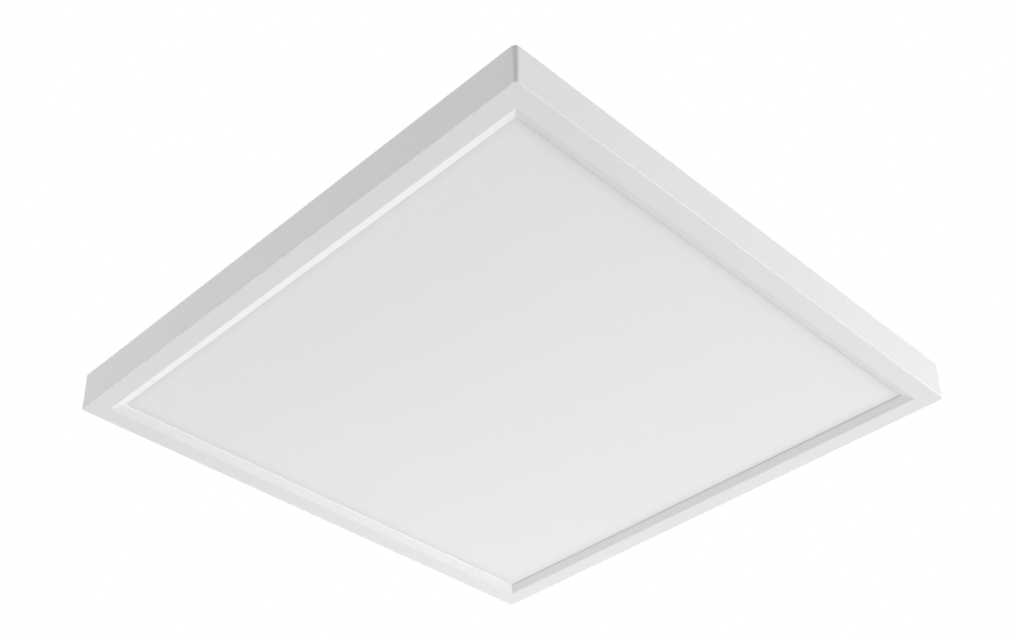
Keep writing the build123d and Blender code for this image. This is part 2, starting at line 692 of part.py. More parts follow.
def terminal_contacts():
    """A brass bar on the floor of each pole, turned up at the rear to meet the lead."""
    half = POLE_WIDTH / 2 - CONTACT_SIDE_ROOM
    front = POCKET_FRONT + CONTACT_SIDE_ROOM
    rear = POCKET_REAR - CONTACT_SIDE_ROOM
    tab_top = LEAD_Z + SUPPLY_LEAD_RADIUS + CONTACT_THICKNESS
    bar = block((-half, half), (front, rear), (TERMINAL_FLOOR, CONTACT_TOP))
    tab = block((-half, half), (rear - CONTACT_THICKNESS, rear), (TERMINAL_FLOOR, tab_top))
    contact = bar + tab
    return Compound(children=[terminal_place() * Pos(pole_x(pole), 0, 0) * contact for pole in (-1, 1)])


def terminal_spring(pole):
    """A leaf folded back on itself: one arm on the contact, the other under the button."""
    rear = POCKET_REAR - CONTACT_SIDE_ROOM - 2 * CONTACT_THICKNESS
    button_foot = POCKET_TOP - SPRING_CLEARANCE - BUTTON_COLLAR_HEIGHT
    tip_z = button_foot - TERMINAL_SPRING_THICKNESS - SPRING_CLEARANCE
    points = [
        (BUTTON_Y, CONTACT_TOP),
        (rear, CONTACT_TOP),
        (BUTTON_Y + TERMINAL_SPRING_TIP, tip_z),
        (BUTTON_Y - TERMINAL_SPRING_TIP, tip_z),
    ]
    bend = TERMINAL_SPRING_BEND + TERMINAL_SPRING_THICKNESS
    line = FilletPolyline(*points, radius=(bend, TERMINAL_SPRING_BEND))
    section = make_face(offset(line, amount=TERMINAL_SPRING_THICKNESS, side=Side.LEFT))
    spring = extrude(Plane.YZ * section, BUTTON_WIDTH / 2, both=True)
    return terminal_place() * Pos(pole_x(pole), 0, 0) * spring


def terminal_button(pole):
    """A release button that rises through the roof and is kept in by a collar below it."""
    collar_high = POCKET_TOP - SPRING_CLEARANCE
    collar_low = collar_high - BUTTON_COLLAR_HEIGHT
    collar = Rectangle(BUTTON_WIDTH + 2 * BUTTON_COLLAR, BUTTON_DEPTH + 2 * BUTTON_COLLAR)
    stem = slab(Rectangle(BUTTON_WIDTH, BUTTON_DEPTH), collar_low, TERMINAL_TOP + BUTTON_RISE)
    stem = chamfer(stem.faces().sort_by(Axis.Z)[-1].edges(), BUTTON_CLEARANCE)
    button = stem + slab(collar, collar_low, collar_high)
    return terminal_place() * Pos(pole_x(pole), BUTTON_Y, 0) * button


def supply_lead(pole):
    """A straight lead from a pole of the terminal block into the driver."""
    start = TERMINAL_Y + POCKET_REAR - CONTACT_SIDE_ROOM
    end = DRIVER_FRONT + LEAD_INSIDE
    section = RegularPolygon(SUPPLY_LEAD_RADIUS, LEAD_SIDES)
    return extrude(Plane((pole_x(pole), start, LEAD_Z), z_dir=(0, 1, 0)) * section, end - start)


def led_lead(side, y):
    """A lead from one end of the driver, along X and down to the LED board on that side."""
    path = FilletPolyline(
        (side * (DRIVER_END - LEAD_INSIDE), y, LEAD_Z),
        (side * LEAD_DROP_X, y, LEAD_Z),
        (side * LEAD_DROP_X, y, LEAD_END_Z),
        radius=LEAD_DROP_BEND,
    )
    section = Plane(path @ 0, z_dir=path % 0) * RegularPolygon(LED_LEAD_RADIUS, LEAD_SIDES)
    return sweep(section, path)


def led_leads(sign):
    """Both leads of one polarity: 1 is positive, -1 is negative."""
    y = LEAD_DROP_Y + sign * LEAD_PITCH / 2
    return Compound(children=[led_lead(side, y) for side in (-1, 1)])


def lead_grommets():
    """A rubber bush in the back plate where each pair of leads goes down."""
    top = PLATE_BACK + LEAD_GROMMET_HEIGHT
    bush = slab(RegularPolygon(LEAD_GROMMET_RADIUS, ROUND_SIDES), PLATE_FRONT, top)
    flange = RegularPolygon(LEAD_GROMMET_RADIUS + LEAD_GROMMET_FLANGE, ROUND_SIDES)
    bush += slab(flange, PLATE_BACK, top)
    bore_width = 2 * (LED_LEAD_RADIUS + LEAD_GROMMET_CLEARANCE)
    bush -= slab(Rectangle(bore_width, LEAD_PITCH + bore_width), PLATE_FRONT, top)
    return Compound(children=[place * bush for place in lead_drop_places()])


def lead_clip():
    """A clip for a pair of leads that run along X: a stuck-on foot and a bridge over the pair."""
    passage = LEAD_PITCH + 2 * (LED_LEAD_RADIUS + LEAD_CLEARANCE)
    width = passage + 2 * LEAD_CLIP_SIDE
    lead_room = LED_LEAD_RADIUS + LEAD_CLEARANCE
    bridge = slab(Rectangle(LEAD_CLIP_LENGTH, width), PLATE_BACK, LEAD_Z + lead_room + LEAD_CLIP_SIDE)
    bridge = chamfer(bridge.edges().group_by(Axis.Z)[-1], LEAD_CLIP_SIDE / 2)
    foot = Rectangle(LEAD_CLIP_LENGTH + 2 * LEAD_CLIP_FOOT, width + 2 * LEAD_CLIP_FOOT)
    clip = bridge + slab(foot, PLATE_BACK, PLATE_BACK + LEAD_CLIP_FOOT_HEIGHT)
    return clip - slab(Rectangle(LEAD_CLIP_LENGTH, passage), LEAD_Z - lead_room, LEAD_Z + lead_room)


def lead_clips():
    """One clip halfway along each pair of leads."""
    middle = (DRIVER_END + LEAD_DROP_X) / 2
    places = [Pos(side * middle, LEAD_DROP_Y, 0) for side in (-1, 1)]
    return Compound(children=[place * lead_clip() for place in places])


PIECES = {
    "ceiling_bracket": ceiling_bracket(),
    "bracket_grommet": bracket_grommet(),
    "front_frame": front_frame(),
    "diffuser": diffuser(),
    "light_guide": light_guide(),
    "reflector_sheet": reflector_sheet(),
    "foam_pad": foam_pad(),
    "thermal_tape_left": thermal_tape(-1),
    "thermal_tape_right": thermal_tape(1),
    "led_board_left": led_board(-1),
    "led_board_right": led_board(1),
    "led_chips_left": led_chips(-1),
    "led_chips_right": led_chips(1),
    "back_plate": back_plate(),
    "back_plate_screws": back_plate_screws(),
    "spring_clip_left": spring_clip(-1),
    "spring_clip_right": spring_clip(1),
    "clip_rivets": clip_rivets(),
    "driver_base": driver_base(),
    "driver_cover": driver_cover(),
    "driver_board": driver_board(),
    "transformer_core": transformer_core(),
    "transformer_winding": transformer_winding(),
    "driver_capacitors": driver_capacitors(),
    "driver_inductor": driver_inductor(),
    "driver_chips": driver_chips(),
    "driver_screws": driver_screws(),
    "terminal_base": terminal_base(),
    "terminal_housing": terminal_housing(),
    "terminal_screw": terminal_screw(),
    "terminal_contacts": terminal_contacts(),
    "terminal_spring_line": terminal_spring(-1),
    "terminal_spring_neutral": terminal_spring(1),
    "terminal_button_line": terminal_button(-1),
    "terminal_button_neutral": terminal_button(1),
    "supply_lead_line": supply_lead(-1),
    "supply_lead_neutral": supply_lead(1),
    "led_leads_positive": led_leads(1),
    "led_leads_negative": led_leads(-1),
    "lead_grommets": lead_grommets(),
    "lead_clips": lead_clips(),
}

os.makedirs("parts", exist_ok=True)
for name, piece in PIECES.items():
    export_step(piece, f"parts/{name}.step")
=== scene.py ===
import json
from contextlib import contextmanager
from math import cos, pi, radians, sin

import bmesh
import bpy
from mathutils import Matrix, Vector


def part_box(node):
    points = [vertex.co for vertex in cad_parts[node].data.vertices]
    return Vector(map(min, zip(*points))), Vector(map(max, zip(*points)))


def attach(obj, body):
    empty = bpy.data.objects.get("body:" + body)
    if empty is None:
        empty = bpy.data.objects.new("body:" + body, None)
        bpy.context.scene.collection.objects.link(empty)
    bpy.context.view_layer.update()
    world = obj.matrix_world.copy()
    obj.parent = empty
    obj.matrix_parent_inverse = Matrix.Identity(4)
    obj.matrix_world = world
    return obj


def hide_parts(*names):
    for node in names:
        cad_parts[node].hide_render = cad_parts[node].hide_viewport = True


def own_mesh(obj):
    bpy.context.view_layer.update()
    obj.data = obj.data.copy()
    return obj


bl_info = {
    "name": "Square ceiling light",
    "version": (1, 0, 0),
    "blender": (4, 5, 0),
    "location": "3D View > Sidebar > Ceiling light",
    "description": "Dresses the packed model of a square slim ceiling light and sets its stage",
    "category": "Object",
}

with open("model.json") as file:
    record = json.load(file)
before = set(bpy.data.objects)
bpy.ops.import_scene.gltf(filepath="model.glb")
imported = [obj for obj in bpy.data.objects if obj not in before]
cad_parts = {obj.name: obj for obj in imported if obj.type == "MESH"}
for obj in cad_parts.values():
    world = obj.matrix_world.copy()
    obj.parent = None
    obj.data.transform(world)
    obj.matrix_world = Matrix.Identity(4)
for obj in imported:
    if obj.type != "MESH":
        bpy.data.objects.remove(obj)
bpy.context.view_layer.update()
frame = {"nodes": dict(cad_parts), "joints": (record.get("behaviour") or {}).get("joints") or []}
MILLIMETRE = 0.001

# Two points closer than this are one point
NEAR = 0.02 * MILLIMETRE

# Points of a mesh closer than this are welded
WELD = NEAR / 10

# Edges that turn by more than this are corners, and show as lines unless they are rounded
CORNER_ANGLE = radians(25)

# Faces that turn by less than this are one flat face
FLAT_ANGLE = radians(0.5)

# Strips in a rounded edge, in a rounded upright corner and in the bend of a lead
EDGE_STEPS = 4
CORNER_STEPS = 6
BEND_STEPS = 10

# Sides of round pieces
TURNED_SIDES = 32
GROMMET_SIDES = 48
SUPPLY_LEAD_SIDES = 24
LED_LEAD_SIDES = 20
FLOOR_SIDES = 128

# Profiles from the seat up, as shares of a radius and of a rise
PAN_HEAD = ((1, 0), (1, 0.5), (0.94, 0.72), (0.78, 0.9), (0.5, 1))
RIVET_HEAD = ((1, 0), (1, 0.3), (0.9, 0.68), (0.66, 0.94), (0.42, 1))
RIVET_HOLE = ((1, 0.9), (1, 0.35))
BUSH_FLANGE = ((1, 0), (1, 0.5), (0.94, 0.85), (0.8, 1), (0.66, 0.85))

# A screw's tip as a share of its shank, and the foot of a recess's arm as shares of its mouth
SCREW_TIP = 0.4
RECESS_FOOT = (0.45, 0.8, 1)

# Rounding may leave the points of a mitre this far from its diagonal
OFF_MITRE = 5 * NEAR

# Pitch of a Wave texture's bands at a scale of 1
WAVE_PITCH = pi / 10

# Width of the camera's film, in millimetres
FILM_WIDTH = 36

# Sockets of a Mix node that mixes colours: its factor, its two colours and its result
MIX_FACTOR, MIX_FIRST, MIX_SECOND = 0, 6, 7
MIX_RESULT = 2

BLACK = (0, 0, 0)
WHITE = (1, 1, 1)


def length(name, description, millimetres):
    """A size that a user may change."""
    return bpy.props.FloatProperty(
        name=name,
        description=description,
        default=millimetres * MILLIMETRE,
        min=0.0,
        precision=5,
        unit="LENGTH",
    )


def colour(name, description, red, green, blue):
    """A colour that a user may change."""
    return bpy.props.FloatVectorProperty(
        name=name,
        description=description,
        default=(red, green, blue),
        min=0.0,
        max=1.0,
        size=3,
        subtype="COLOR",
    )


def direction(name, description, x, y, z):
    """A direction that a user may change."""
    return bpy.props.FloatVectorProperty(
        name=name, description=description, default=(x, y, z), size=3, subtype="DIRECTION"
    )


def lamp_settings(role, towards, distance, size, watts):
    """One lamp's direction, distance, side and power, which a user may change."""
    title = role.title()
    return {
        f"{role}_from": direction(f"{title} direction", f"From the light to the {role} lamp", *towards),
        f"{role}_distance": length(f"{title} distance", f"How far off the {role} lamp is", distance),
        f"{role}_size": length(f"{title} size", f"Side of the {role} lamp", size),
        f"{role}_power": bpy.props.FloatProperty(
            name=f"{title} power",
            description=f"Power of the {role} lamp",
            default=watts,
            min=0.0,
            unit="POWER",
        ),
    }


class LightSizes(bpy.types.PropertyGroup):
    """Sizes of what is modelled here, beside those that come from the CAD nodes."""

    wall_draft: length("Wall draft", "How far the walls lean in from the back to the front", 0.8)
    bezel_width: length("Bezel width", "Flat face, from the walls to the bevel", 10.1)
    bevel_width: length("Bevel width", "Sloping ring inside the bezel", 4.7)
    bevel_depth: length("Bevel depth", "How far the sloping ring goes back", 2.0)
    soft_edge: length("Soft edge radius", "Rounding of the CAD frame's front edge", 0.9)
    front_edge: length("Front edge radius", "Rounding of the painted frame's front edge", 0.32)
    frame_edge: length("Frame edge radius", "Rounding of the painted frame's other edges", 0.3)
    lip_relief: length("Lip relief", "How far the back of the CAD frame's lip is cut away", 0.9)
    lip_edge: length("Lip edge", "How far the painted lip's front edge stands outside the CAD lip's", 0.4)
    lip_lean: length("Lip lean", "How far the painted lip's back edge reaches inside the CAD lip's", 0.15)
    # The shaded rim is painted shade, darkening the diffuser's colour towards the lip
    shaded_rim: length("Shaded rim", "Border of the diffuser that the frame keeps in shade", 7.0)
    bracket_sheet: length("Bracket sheet", "Thickness of the ceiling bracket's strip", 1.2)
    plate_sheet: length("Plate sheet", "Thickness of the back plate", 0.8)
    clip_sheet: length("Clip sheet", "Thickness of the spring clips", 0.5)
    pressed_edge: length("Pressed edge radius", "Rounding of sheet metal edges", 0.15)
    bead_edge: length("Bead edge radius", "Rounding where the back plate's beads rise", 0.8)
    moulded_edge: length("Moulded edge radius", "Edges of the terminal block", 0.3)
    case_corner: length("Case corner radius", "Upright corners of the driver's case", 3.0)
    ear_corner: length("Ear corner radius", "Corners of the driver's fixing ears", 2.5)
    case_edge: length("Case edge radius", "Edges of the driver's lid", 0.9)
    case_wall: length("Case wall", "Wall of the driver's lid", 1.0)
    cover_field: length("Cover field inset", "Border round the sunk field of the driver's lid", 1.3)
    cover_sink: length("Cover field depth", "How far that field is sunk", 0.3)
    screw_end: length("Screw end distance", "From a corner of the light to the first plate screw", 60.0)
    screw_radius: length("Screw radius", "Shank of each screw", 1.25)
    screw_head: length("Screw head radius", "Pan head of each screw", 2.2)
    screw_rise: length("Screw head height", "Height of each pan head", 1.5)
    recess_width: length("Recess width", "Arm of the cross recess", 0.55)
    recess_length: length("Recess length", "Cross recess from end to end", 2.5)
    recess_depth: length("Recess depth", "Cross recess at its middle", 0.9)
    rivet_radius: length("Rivet radius", "Shank of each rivet", 2.0)
    rivet_head: length("Rivet head radius", "Head of each rivet", 4.0)
    rivet_hole: length("Rivet hole radius", "Hole that the rivet's pin leaves in its head", 1.2)
    grommet_bore: length("Grommet bore radius", "Way for the supply cable through the bracket", 6.0)
    grommet_hole: length("Grommet groove radius", "Hole of the bracket that holds the grommet", 8.95)
    grommet_lip: length("Grommet lip radius", "Rounding of the grommet's lips", 0.4)
    bush_radius: length("Lead bush radius", "Rubber bush where the LED leads go down", 3.0)
    bush_flange: length("Lead bush flange", "Flange of that bush beyond its hole", 1.0)
    led_lead: length("LED lead radius", "Insulation of the leads to the LED boards", 0.7)
    led_bend: length("LED lead bend", "Bend of those leads where they go down", 3.5)
    lead_inside: length("Lead inside", "How far the leads go into the driver's case", 3.0)
    supply_lead: length("Supply lead radius", "Insulation of the leads from the terminal block", 1.0)
    button_slot: length("Button slot width", "Screwdriver slot of each release button", 0.9)
    button_sink: length("Button slot depth", "Depth of that slot", 0.5)
    spring_gap: length("Spring gap", "From a pressed button down to its bent spring", 0.05)


class LightColours(bpy.types.PropertyGroup):
    """Colours of the finishes, in linear light."""

    paint: colour("Paint", "Painted frame", 0.80, 0.80, 0.80)
    plate: colour("Plate paint", "Painted back plate", 0.72, 0.72, 0.715)
    opal: colour("Opal sheet", "Diffuser", 0.868, 0.868, 0.866)
    dust: colour("Dust", "Specks on the diffuser", 0.25, 0.24, 0.22)
    acrylic: colour("Acrylic", "Light guide", 0.95, 0.97, 0.98)
    dots: colour("Dots", "Printed dots of the light guide", 0.9, 0.9, 0.9)
    reflector: colour("Reflector", "Sheet behind the light guide", 0.86, 0.86, 0.86)
    foam: colour("Foam", "Pad behind the reflector", 0.78, 0.78, 0.78)
    tape: colour("Thermal tape", "Tape behind the LED boards", 0.32, 0.34, 0.37)
    led_board: colour("LED board", "White solder mask", 0.78, 0.78, 0.75)
    led_track: colour("LED board tracks", "Tracks under the white solder mask", 0.66, 0.66, 0.62)
    phosphor: colour("Phosphor", "LED chips, unlit", 0.84, 0.60, 0.06)
    zinc: colour("Zinc", "Galvanised bracket, screws and rivets", 0.45, 0.46, 0.48)
    spring: colour("Spring steel", "Clips and terminal springs", 0.32, 0.33, 0.36)
    case: colour("Driver case", "Moulded driver case", 0.70, 0.70, 0.67)
    circuit: colour("Circuit board", "Driver's board", 0.01, 0.09, 0.03)
    circuit_track: colour("Circuit tracks", "Tracks of the driver's board", 0.03, 0.22, 0.07)
    ferrite: colour("Ferrite", "Transformer core and inductor", 0.02, 0.02, 0.022)
    winding: colour("Winding tape", "Tape round the transformer's winding", 0.72, 0.45, 0.02)
    sleeve: colour("Capacitor sleeve", "Shrunk sleeve of the capacitors", 0.012, 0.014, 0.03)
    chip: colour("Chip", "Moulded chips of the driver", 0.012, 0.012, 0.013)
    terminal: colour("Terminal block", "Moulded terminal block", 0.50, 0.51, 0.50)
    brass: colour("Brass", "Contacts", 0.60, 0.36, 0.10)
    button: colour("Release button", "Buttons of the terminal block", 0.76, 0.14, 0.012)
    line: colour("Line lead", "Supply lead from the line pole", 0.10, 0.035, 0.015)
    neutral: colour("Neutral lead", "Supply lead from the neutral pole", 0.008, 0.06, 0.34)
    positive: colour("Positive lead", "LED leads, positive", 0.40, 0.012, 0.01)
    negative: colour("Negative lead", "LED leads, negative", 0.012, 0.012, 0.013)
    rubber: colour("Rubber", "Grommets", 0.018, 0.018, 0.019)
    nylon: colour("Nylon", "Lead clips", 0.72, 0.70, 0.62)
    floor: colour("Floor", "Pale floor", 0.82, 0.82, 0.82)


class LightStage(bpy.types.PropertyGroup):
    """The camera, the floor and the lamps."""

    camera: bpy.props.FloatVectorProperty(
        name="Camera",
        description="Where the camera stands",
        default=(-0.41920, -0.40440, -0.42840),
        subtype="TRANSLATION",
        unit="LENGTH",
    )
    target: bpy.props.FloatVectorProperty(
        name="Target",
        description="The point in the middle of the picture",
        default=(-0.04946, -0.04418, -0.020),
        subtype="TRANSLATION",
        unit="LENGTH",
    )
    roll: bpy.props.FloatProperty(
        name="Roll",
        description="Turn of the camera about its line of sight",
        default=radians(-1.16),
        subtype="ANGLE",
    )
    lens: bpy.props.FloatProperty(
        name="Lens", description="Focal length", default=51.65, min=1.0, unit="CAMERA"
    )
    ambient: bpy.props.FloatProperty(
        name="Ambient", description="Soft light from all round", default=0.2011, min=0.0
    )
    floor_drop: length("Floor drop", "From the ceiling plane down to the floor", 1500.0)
    floor_radius: length("Floor radius", "Half width of the round floor", 6800.0)
    floor_white: bpy.props.FloatProperty(
        name="Floor white",
        description="How far towards white the camera sees the floor",
        default=0.80,
        min=0.0,
        max=1.0,
        subtype="FACTOR",
    )

    # Direction, distance and side in millimetres, and watts of each lamp
    __annotations__ |= lamp_settings("key", (0.552, -0.774, -0.310), 1654.7, 1297.5, 27.06)
    __annotations__ |= lamp_settings("fill", (-0.949, 0.313, 0.029), 2137.1, 400.0, 18.49)
    __annotations__ |= lamp_settings("face", (0.402, 0.677, -0.616), 682.4, 1200.0, 3.28)
    __annotations__ |= lamp_settings("back", (0.35, 0.45, 0.82), 1400.0, 700.0, 13.0)


class CeilingLight(bpy.types.PropertyGroup):
    """All that a user may change."""

    sizes: bpy.props.PointerProperty(type=LightSizes)
    colours: bpy.props.PointerProperty(type=LightColours)
    stage: bpy.props.PointerProperty(type=LightStage)


# Modelling by hand


def deselect():
    bpy.ops.object.select_all(action="DESELECT")


def make_active(piece):
    """The one selected and active object."""
    deselect()
    piece.select_set(True)
    bpy.context.view_layer.objects.active = piece


@contextmanager
def editing(piece):
    """Edit mode on one piece, with nothing selected at the start."""
    make_active(piece)
    bpy.ops.object.mode_set(mode="EDIT")
    bpy.ops.mesh.select_all(action="DESELECT")
    yield
    bpy.ops.object.mode_set(mode="OBJECT")


def named(name):
    """The primitive just added, with its place moved into its mesh."""
    bpy.ops.object.transform_apply(location=True, rotation=True, scale=True)
    piece = bpy.context.object
    piece.name = name
    piece.data.name = name
    return piece


def add_box(name, low, high):
    deselect()
    low, high = Vector(low), Vector(high)
    bpy.ops.mesh.primitive_cube_add(size=1, location=(low + high) / 2)
    bpy.ops.transform.resize(value=high - low)
    return named(name)


def add_disc(name, sides, radius, place, turn=(0, 0, 0)):
    deselect()
    bpy.ops.mesh.primitive_circle_add(
        vertices=sides, radius=radius, fill_type="NGON", location=place, rotation=turn
    )
    return named(name)


def select(kind, wanted):
    """Select those faces or edges of the mesh in edit mode that are wanted."""
    bpy.ops.mesh.select_mode(type={"edges": "EDGE", "faces": "FACE"}[kind])
    bpy.ops.mesh.select_all(action="DESELECT")
    mesh = bmesh.from_edit_mesh(bpy.context.edit_object.data)
    for element in getattr(mesh, kind):
        if wanted(element):
            element.select_set(True)
    bmesh.update_edit_mesh(bpy.context.edit_object.data)


def pick(kind, test, corners_only=False):
    """Select the faces or edges whose points all pass a test."""

    def wanted(element):
        if corners_only and element.calc_face_angle(0) < CORNER_ANGLE:
            return False
        return all(test(vertex.co) for vertex in element.verts)

    select(kind, wanted)


def pick_upright(test):
    """Select the upright edges whose points pass a test."""

    def wanted(edge):
        first, second = edge.verts
        return (first.co.xy - second.co.xy).length < NEAR and test(first.co)

    select("edges", wanted)


def selected_points():
    """Where the selected points are."""
    mesh = bmesh.from_edit_mesh(bpy.context.edit_object.data)
    return [vertex.co.copy() for vertex in mesh.verts if vertex.select]


def at_height(height):
    return lambda point: abs(point.z - height) < NEAR


def on_square(half, height):
    """A test for points on one of the frame's squares."""
    return lambda point: (
        abs(max(abs(point.x), abs(point.y)) - half) < NEAR and abs(point.z - height) < NEAR
    )


def on_box_edge(low, high):
    """A test for points on the edges of a box, where two of its sides meet."""

    def sides(point):
        return sum(abs(p - a) < NEAR or abs(p - b) < NEAR for p, a, b in zip(point, low, high))

    return lambda point: sides(point) > 1


def on_mitre(half):
    """A test for points on the diagonals of a square, where its four bevels meet."""
    return lambda point: (
        abs(abs(point.x) - abs(point.y)) < OFF_MITRE and max(abs(point.x), abs(point.y)) < half + NEAR
    )


def anywhere(point):
    return True


def round_off(radius, steps=EDGE_STEPS):
    """Round the selected edges."""
    bpy.ops.mesh.bevel(offset=radius, segments=steps, affect="EDGES", clamp_overlap=False)


def extrude(x, y, z):
    """Extrude what is selected, which leaves its new end selected."""
    bpy.ops.mesh.extrude_region_move(TRANSFORM_OT_translate={"value": (x, y, z)})


def widen(scale, height):
    """Scale what is selected about the middle line of the light."""
    bpy.ops.transform.resize(value=(scale, scale, 1), center_override=(0, 0, height))


def face_outwards(weld=False):
    """Turn every face of the mesh in edit mode outwards, and first merge its doubles if asked to."""
    bpy.ops.mesh.select_all(action="SELECT")
    if weld:
        bpy.ops.mesh.remove_doubles(threshold=WELD)
    bpy.ops.mesh.normals_make_consistent(inside=False)


def cad_copy(node, name):
    """A welded copy of a CAD node, with its flat faces made whole."""
    piece = bpy.data.objects.new(name, frame["nodes"][node].data.copy())
    bpy.context.scene.collection.objects.link(piece)
    with editing(piece):
        bpy.ops.mesh.select_all(action="SELECT")
        bpy.ops.mesh.remove_doubles(threshold=WELD)
        bpy.ops.mesh.dissolve_limited(angle_limit=FLAT_ANGLE)
    return piece


def softened(node, name, test, radius):
    """A copy of a CAD node, with the corners that pass a test rounded off."""
    piece = cad_copy(node, name)
    with editing(piece):
        pick("edges", test, corners_only=True)
        round_off(radius)
    return piece


def rings_of(profile, radius, foot, rise):
    """A profile's rings at their real size."""
    return [(radius * across, foot + rise * up) for across, up in profile]


def extrude_rings(rings):
    """Extrude the selected ring, which is the first, from each width and height to the next."""
    (width, height), *others = rings
    for next_width, next_height in others:
        extrude(0, 0, next_height - height)
        widen(next_width / width, next_height)
        width, height = next_width, next_height


def turned(name, rings, sides=TURNED_SIDES):
    """A round piece, as from a lathe: a disc that is extruded and scaled from ring to ring."""
    radius, height = rings[0]
    piece = add_disc(name, sides, radius, (0, 0, height))
    with editing(piece):
        bpy.ops.mesh.select_all(action="SELECT")
        extrude_rings(rings)
        face_outwards()
    return piece


def cut(piece, cutter):
    """Take one closed shape away from another."""
    make_active(piece)
    modifier = piece.modifiers.new("cut", "BOOLEAN")
    modifier.operation = "DIFFERENCE"
    modifier.object = cutter
    bpy.ops.object.modifier_apply(modifier=modifier.name)
    bpy.data.objects.remove(cutter)


def copies(piece, places):
    """One object made of a copy of a piece at each place."""
    made = []
    for place in places:
        make_active(piece)
        bpy.ops.object.duplicate(linked=False)
        bpy.ops.transform.translate(value=place)
        bpy.ops.object.transform_apply(location=True)
        made.append(bpy.context.object)
    name = piece.name
    bpy.data.objects.remove(piece)
    return joined(name, made)


def joined(name, pieces):
    make_active(pieces[0])
    for piece in pieces:
        piece.select_set(True)
    bpy.ops.object.join()
    pieces[0].name = name
    return pieces[0]


def finish_piece(piece, body, slot, material, *nodes):
    """Smooth a modelled piece, paint it, and let it stand for its CAD nodes."""
    make_active(piece)
    bpy.ops.object.shade_smooth_by_angle(angle=CORNER_ANGLE)
    modifier = piece.modifiers.new("flat faces stay flat", "WEIGHTED_NORMAL")
    modifier.keep_sharp = True
    bpy.ops.object.modifier_apply(modifier=modifier.name)
    paint(piece, material)
    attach(piece, body)
    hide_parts(*nodes)


def paint(piece, material):
    piece.data.materials.clear()
    piece.data.materials.append(material)


def paint_node(node, material):
    paint(frame["nodes"][node], material)


# Finishes


class Wire:
    """A node's output that takes part in sums, each step of which is a Math node."""

    def __init__(self, finish, socket):
        self.finish = finish
        self.socket = socket

    def math(self, operation, first, second):
        return self.finish.node("ShaderNodeMath", {"operation": operation}, {0: first, 1: second})

    def __add__(self, other):
        return self.math("ADD", self, other)

    def __radd__(self, other):
        return self.math("ADD", other, self)

    def __sub__(self, other):
        return self.math("SUBTRACT", self, other)

    def __rsub__(self, other):
        return self.math("SUBTRACT", other, self)

    def __mul__(self, other):
        return self.math("MULTIPLY", self, other)

    def __rmul__(self, other):
        return self.math("MULTIPLY", other, self)

    def __gt__(self, other):
        return self.math("GREATER_THAN", self, other)

    def __lt__(self, other):
        return self.math("LESS_THAN", self, other)


class Finish:
    """A node tree under construction: a material, or the world."""

    def __init__(self, owner):
        owner.use_nodes = True
        self.owner = owner
        self.tree = owner.node_tree
        self.tree.nodes.clear()

    def put(self, socket, value):
        """Link an output to a socket, or set the socket's own value."""
        if isinstance(value, Wire):
            self.tree.links.new(value.socket, socket)
        elif socket.type == "RGBA" and len(value) == 3:
            socket.default_value = (*value, 1.0)
        else:
            socket.default_value = value

    def node(self, kind, settings=None, sockets=None, output=0):
        """Any node: its settings come first, then the values or links of its sockets."""
        node = self.tree.nodes.new(kind)
        for name, value in (settings or {}).items():
            setattr(node, name, value)
        for key, value in (sockets or {}).items():
            self.put(node.inputs[key], value)
        return Wire(self, node.outputs[output]) if node.outputs else None

    def place(self):
        """Object coordinates, in metres."""
        return self.node("ShaderNodeTexCoord", output="Object")

    def noise(self, grain, detail=2, stretch=(1, 1, 1)):
        """Soft noise from 0 to 1, with lumps of about a grain's millimetres, longer where stretched."""
        grid = self.node("ShaderNodeMapping", None, {"Vector": self.place(), "Scale": stretch})
        sockets = {"Vector": grid, "Scale": 1 / (grain * MILLIMETRE), "Detail": detail}
        return self.node("ShaderNodeTexNoise", None, sockets, "Fac")

    def cells(self, grain, output="Distance"):
        """Cells of about a grain's millimetres: the distance to each one's middle, or its own colour."""
        sockets = {"Vector": self.place(), "Scale": 1 / (grain * MILLIMETRE)}
        return self.node("ShaderNodeTexVoronoi", None, sockets, output)

    def bands(self, pitch, axis):
        """Waves from 0 to 1 across one axis, a pitch in millimetres apart."""
        settings = {"wave_type": "BANDS", "bands_direction": axis}
        sockets = {"Vector": self.place(), "Scale": WAVE_PITCH / (pitch * MILLIMETRE)}
        return self.node("ShaderNodeTexWave", settings, sockets, "Fac")

    def between(self, factor, first, second):
        """A colour between two colours."""
        sockets = {MIX_FACTOR: factor, MIX_FIRST: first, MIX_SECOND: second}
        return self.node("ShaderNodeMix", {"data_type": "RGBA"}, sockets, MIX_RESULT)

    def shader_between(self, factor, first, second):
        """A shader between two shaders."""
        return self.node("ShaderNodeMixShader", None, {"Fac": factor, 1: first, 2: second})

    def rim(self, half, width):
        """Rises from 0 inside a square sheet's rim to 1 at its edge, slowly and then fast."""
        away = self.node("ShaderNodeVectorMath", {"operation": "ABSOLUTE"}, {0: self.place()})
        x, y = (self.node("ShaderNodeSeparateXYZ", None, {0: away}, axis) for axis in "XY")
        span = {"Value": x.math("MAXIMUM", x, y), "From Min": half - width, "From Max": half}
        rise = self.node("ShaderNodeMapRange", None, span)
        return rise * rise

    def mottled(self, mask, base, low, high):
        """A colour that goes from one share of itself to another as a mask goes from 0 to 1."""
        first, second = ([min(c * share, 1.0) for c in base] for share in (low, high))
        return self.between(mask, first, second)

    def bump(self, height, depth):
        """A surface raised by a height from 0 to 1 times a depth in millimetres."""
        sockets = {"Height": height, "Distance": depth * MILLIMETRE, "Strength": 1.0}
        return self.node("ShaderNodeBump", None, sockets)

    def surface(self, sockets):
        """Close the tree with a Principled shader."""
        shader = self.node("ShaderNodeBsdfPrincipled", None, sockets)
        self.node("ShaderNodeOutputMaterial", None, {"Surface": shader})
        return self.owner


def new_finish(name):
    return Finish(bpy.data.materials.new(name))


